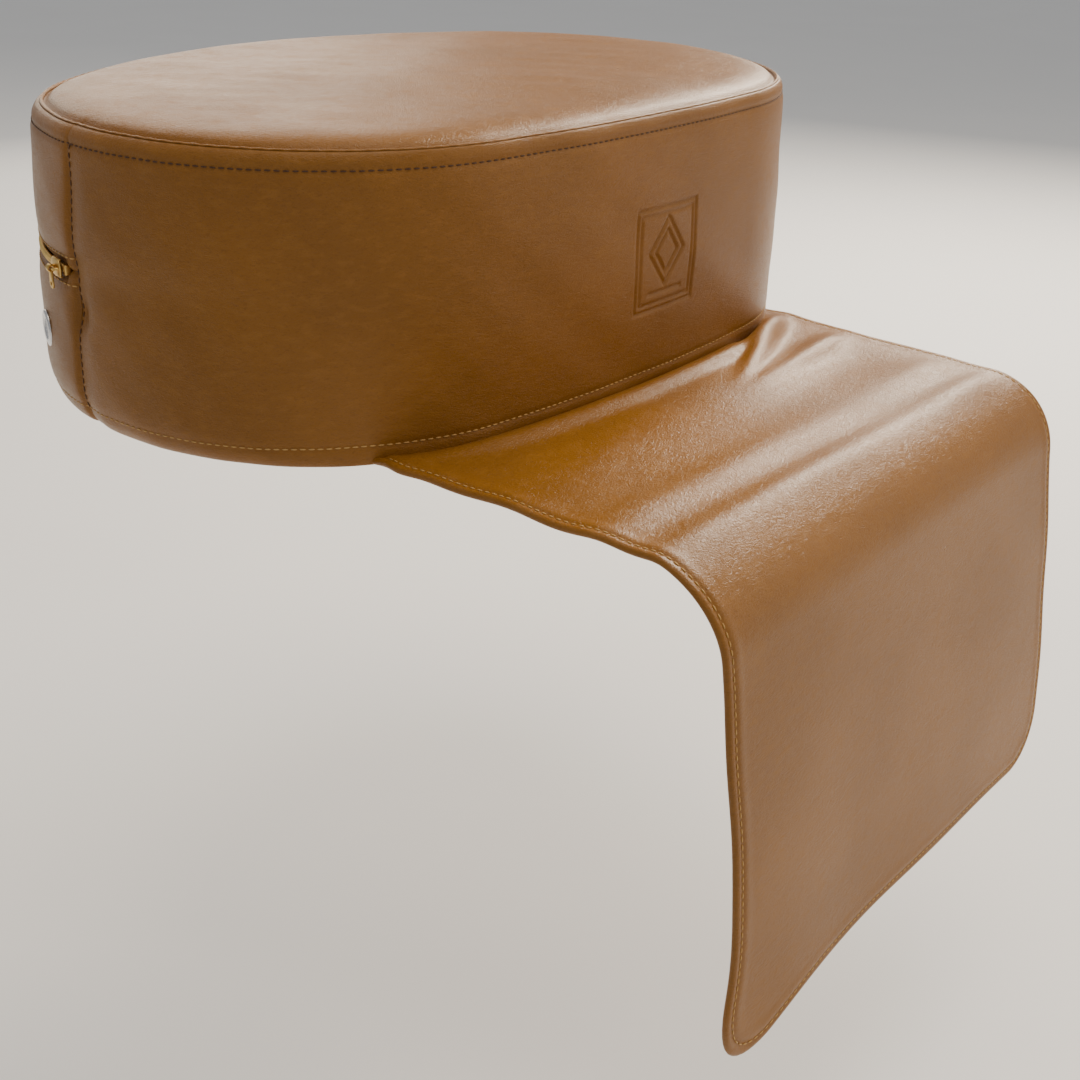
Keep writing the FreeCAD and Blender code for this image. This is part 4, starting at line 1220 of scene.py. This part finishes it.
class BOOSTER_OT_flap_hanging(bpy.types.Operator):
    """Make the part of the flap that bends over the seat's edge and hangs"""

    bl_idname = "booster.flap_hanging"
    bl_label = "Flap, hanging part"

    corner: length("Corner", "Radius of the lower corners", 34)

    def execute(self, context):
        sizes = context.scene.booster_flap
        flap = Flap(sizes, Plan(context.scene.booster_cushion))
        corner, deep = self.corner, HEM[0]
        level, inner = flap.foot - corner, corner - deep
        straight = np.linspace(sizes.split, level, 128)
        turns = np.linspace(0, math.pi / 2, 16)[1:]
        across = np.linspace(-1, 1, 130)
        wide = float(flap.half_width(np.array(level)))
        half = np.concatenate([flap.half_width(straight) - deep, wide - corner + inner * np.cos(turns)])
        down = np.concatenate([straight, level + inner * np.sin(turns)])
        rows, columns = len(half), len(across)
        x, s = half[:, None] * across, np.repeat(down[:, None], columns, 1)
        chart = [np.stack([x, s, np.full(x.shape, deep + 1 * MM)], -1).reshape(-1, 3)]
        chain = [(r, 0) for r in range(rows)] + [(rows - 1, c) for c in range(1, columns - 1)]
        chain += [(r, columns - 1) for r in range(rows - 1, -1, -1)]
        chain = np.array(chain)
        side = np.sign(chain[:, 1] - (columns - 1) / 2) * np.isin(chain[:, 1], (0, columns - 1))
        lean = np.concatenate([np.zeros(len(straight)), turns])[chain[:, 0]]
        way_x, way_s = side * np.cos(lean), np.where(side == 0, 1.0, np.sin(lean))
        loops = [chain[:, 0] * columns + chain[:, 1]]
        edge_x, edge_s = x[tuple(chain.T)], s[tuple(chain.T)]
        for number, inset in enumerate(HEM[1:]):
            reach = deep - inset
            ring = (edge_x + way_x * reach, edge_s + way_s * reach, np.full(len(chain), inset))
            chart.append(np.stack(ring, -1))
            loops.append(rows * columns + number * len(chain) + np.arange(len(chain)))
        chart = np.vstack(chart)
        loops = [loop.tolist() for loop in loops]
        faces = [face[::-1] for face in grid_faces(rows, columns)]
        for near, far in zip(loops, loops[1:]):
            faces += [(far[i], far[i + 1], near[i + 1], near[i]) for i in range(len(chain) - 1)]
        rim = [loop[0] for loop in loops[::-1]] + list(range(1, columns - 1)) + [loop[-1] for loop in loops]
        made = two_faced("flap_hanging", flap, chart, faces, [rim])
        declare_cloth(made, ("roll", "apron"))
        hem = self.hem(flap, level, corner, wide)
        sew_hem("hem_stitches_hanging", flap, [hem], "hem_thread_apron")
        return {"FINISHED"}

    def hem(self, flap, level, corner, wide):
        """The flat path of the stitching: down one side, along the foot and up the other."""
        inset = flap.sizes.hem_stitch
        s = np.linspace(flap.sizes.split, level, 500)
        x = flap.half_width(s) - inset
        turns = np.linspace(0, math.pi / 2, 60)[1:]
        arc_s = level + (corner - inset) * np.sin(turns)
        arc_x = wide - corner + (corner - inset) * np.cos(turns)
        flat_x = np.linspace(arc_x[-1], -arc_x[-1], 400)[1:-1]
        flat_s = np.full(flat_x.shape, arc_s[-1])
        return (np.concatenate([x, arc_x, flat_x, -arc_x[::-1], -x[::-1]]),
                np.concatenate([s, arc_s, flat_s, arc_s[::-1], s[::-1]]))


# ------------------------------------------------------------------ floor, light and camera
class BOOSTER_OT_stage(bpy.types.Operator):
    """Set the floor, the lights and the camera"""

    bl_idname = "booster.stage"
    bl_label = "Stage"

    def execute(self, context):
        self.floor()
        self.lights()
        self.camera()
        return {"FINISHED"}

    def floor(self):
        size, height = 9.0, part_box("flap_skin_apron")[0].z - 0.16
        points = [(-size, -size, height), (size, -size, height), (size, size, height), (-size, size, height)]
        paint = Paint("Pale floor")
        place = paint.place()
        base = paint.blend(paint.noise(place, 3.0), (0.86, 0.86, 0.86), (0.90, 0.90, 0.90))
        finish = paint.finish(Base_Color=base, Roughness=0.8)
        new_object("floor", mesh_from("floor", points, [(0, 1, 2, 3)]), finish)

    def lights(self):
        world = bpy.data.worlds.new("Studio")
        world.use_nodes = True
        background = world.node_tree.nodes["Background"]
        background.inputs["Color"].default_value = (1.0, 1.0, 1.0, 1.0)
        background.inputs["Strength"].default_value = 0.40
        bpy.context.scene.world = world
        for name, place, target, size, power in (
                ("right key", (2.15, 0.30, 1.25), (0.0, -0.25, 0.0), 1.0, 78.0),
                ("back sheen", (1.15, 2.15, 0.80), (0.0, 0.0, 0.1), 1.6, 15.0),
                ("right front", (1.6, -2.0, 1.1), (0, -0.2, 0), 1.3, 22.0),
                ("overhead", (0.1, -0.3, 2.2), (0, -0.1, 0), 1.6, 26.0)):
            light = bpy.data.lights.new(name, "AREA")
            light.shape = "DISK"
            light.size = size
            light.energy = power
            light.color = (1.0, 0.88, 0.72)
            lamp = bpy.data.objects.new(name, light)
            bpy.context.scene.collection.objects.link(lamp)
            lamp.location = place
            way = Vector(target) - Vector(place)
            lamp.rotation_euler = way.to_track_quat("-Z", "Y").to_euler()

    def camera(self):
        azimuth, pitch, roll = math.radians(-50.03), math.radians(26.14), math.radians(1.52)
        ahead = Vector((-math.sin(azimuth) * math.cos(pitch), math.cos(azimuth) * math.cos(pitch),
                        -math.sin(pitch)))
        right = Vector((math.cos(azimuth), math.sin(azimuth), 0))
        up = right.cross(ahead)
        across = math.cos(roll) * right + math.sin(roll) * up
        above = -math.sin(roll) * right + math.cos(roll) * up
        lens = bpy.data.cameras.new("camera")
        lens.lens = 47.79
        lens.sensor_width = 36.0
        lens.clip_end = 50.0
        view = bpy.data.objects.new("camera", lens)
        bpy.context.scene.collection.objects.link(view)
        axes = Matrix((across, above, -ahead)).transposed()
        view.matrix_world = Matrix.Translation((-0.5874, -0.5889, 0.2651)) @ axes.to_4x4()
        bpy.context.scene.camera = view


# ------------------------------------------------------------------ panel and registration
STEPS = (BOOSTER_OT_front_band, BOOSTER_OT_rear_bands, BOOSTER_OT_top_panel, BOOSTER_OT_bottom_panel,
         BOOSTER_OT_cushion_stitches, BOOSTER_OT_zip, BOOSTER_OT_vent, BOOSTER_OT_flap_lying,
         BOOSTER_OT_flap_hanging, BOOSTER_OT_stage)
GROUPS = {"booster_cushion": CushionSizes, "booster_flap": FlapSizes, "booster_finish": Finish}


class BOOSTER_PT_panel(bpy.types.Panel):
    """Lists the steps that build the booster cushion"""

    bl_label = "Booster cushion"
    bl_idname = "BOOSTER_PT_panel"
    bl_space_type = "VIEW_3D"
    bl_region_type = "UI"
    bl_category = "Booster"

    def draw(self, context):
        for step in STEPS:
            self.layout.operator(step.bl_idname)
        for name, group in GROUPS.items():
            box = self.layout.box()
            box.label(text=group.__doc__)
            for key in group.__annotations__:
                box.prop(getattr(context.scene, name), key)


def register():
    for item in (*GROUPS.values(), *STEPS, BOOSTER_PT_panel):
        bpy.utils.register_class(item)
    for name, group in GROUPS.items():
        setattr(bpy.types.Scene, name, PointerProperty(type=group))


def unregister():
    for name in GROUPS:
        delattr(bpy.types.Scene, name)
    for item in reversed((*GROUPS.values(), *STEPS, BOOSTER_PT_panel)):
        bpy.utils.unregister_class(item)


def main():
    register()
    for step in STEPS:
        family, action = step.bl_idname.split(".")
        getattr(getattr(bpy.ops, family), action)()


if __name__ == "__main__":
    main()
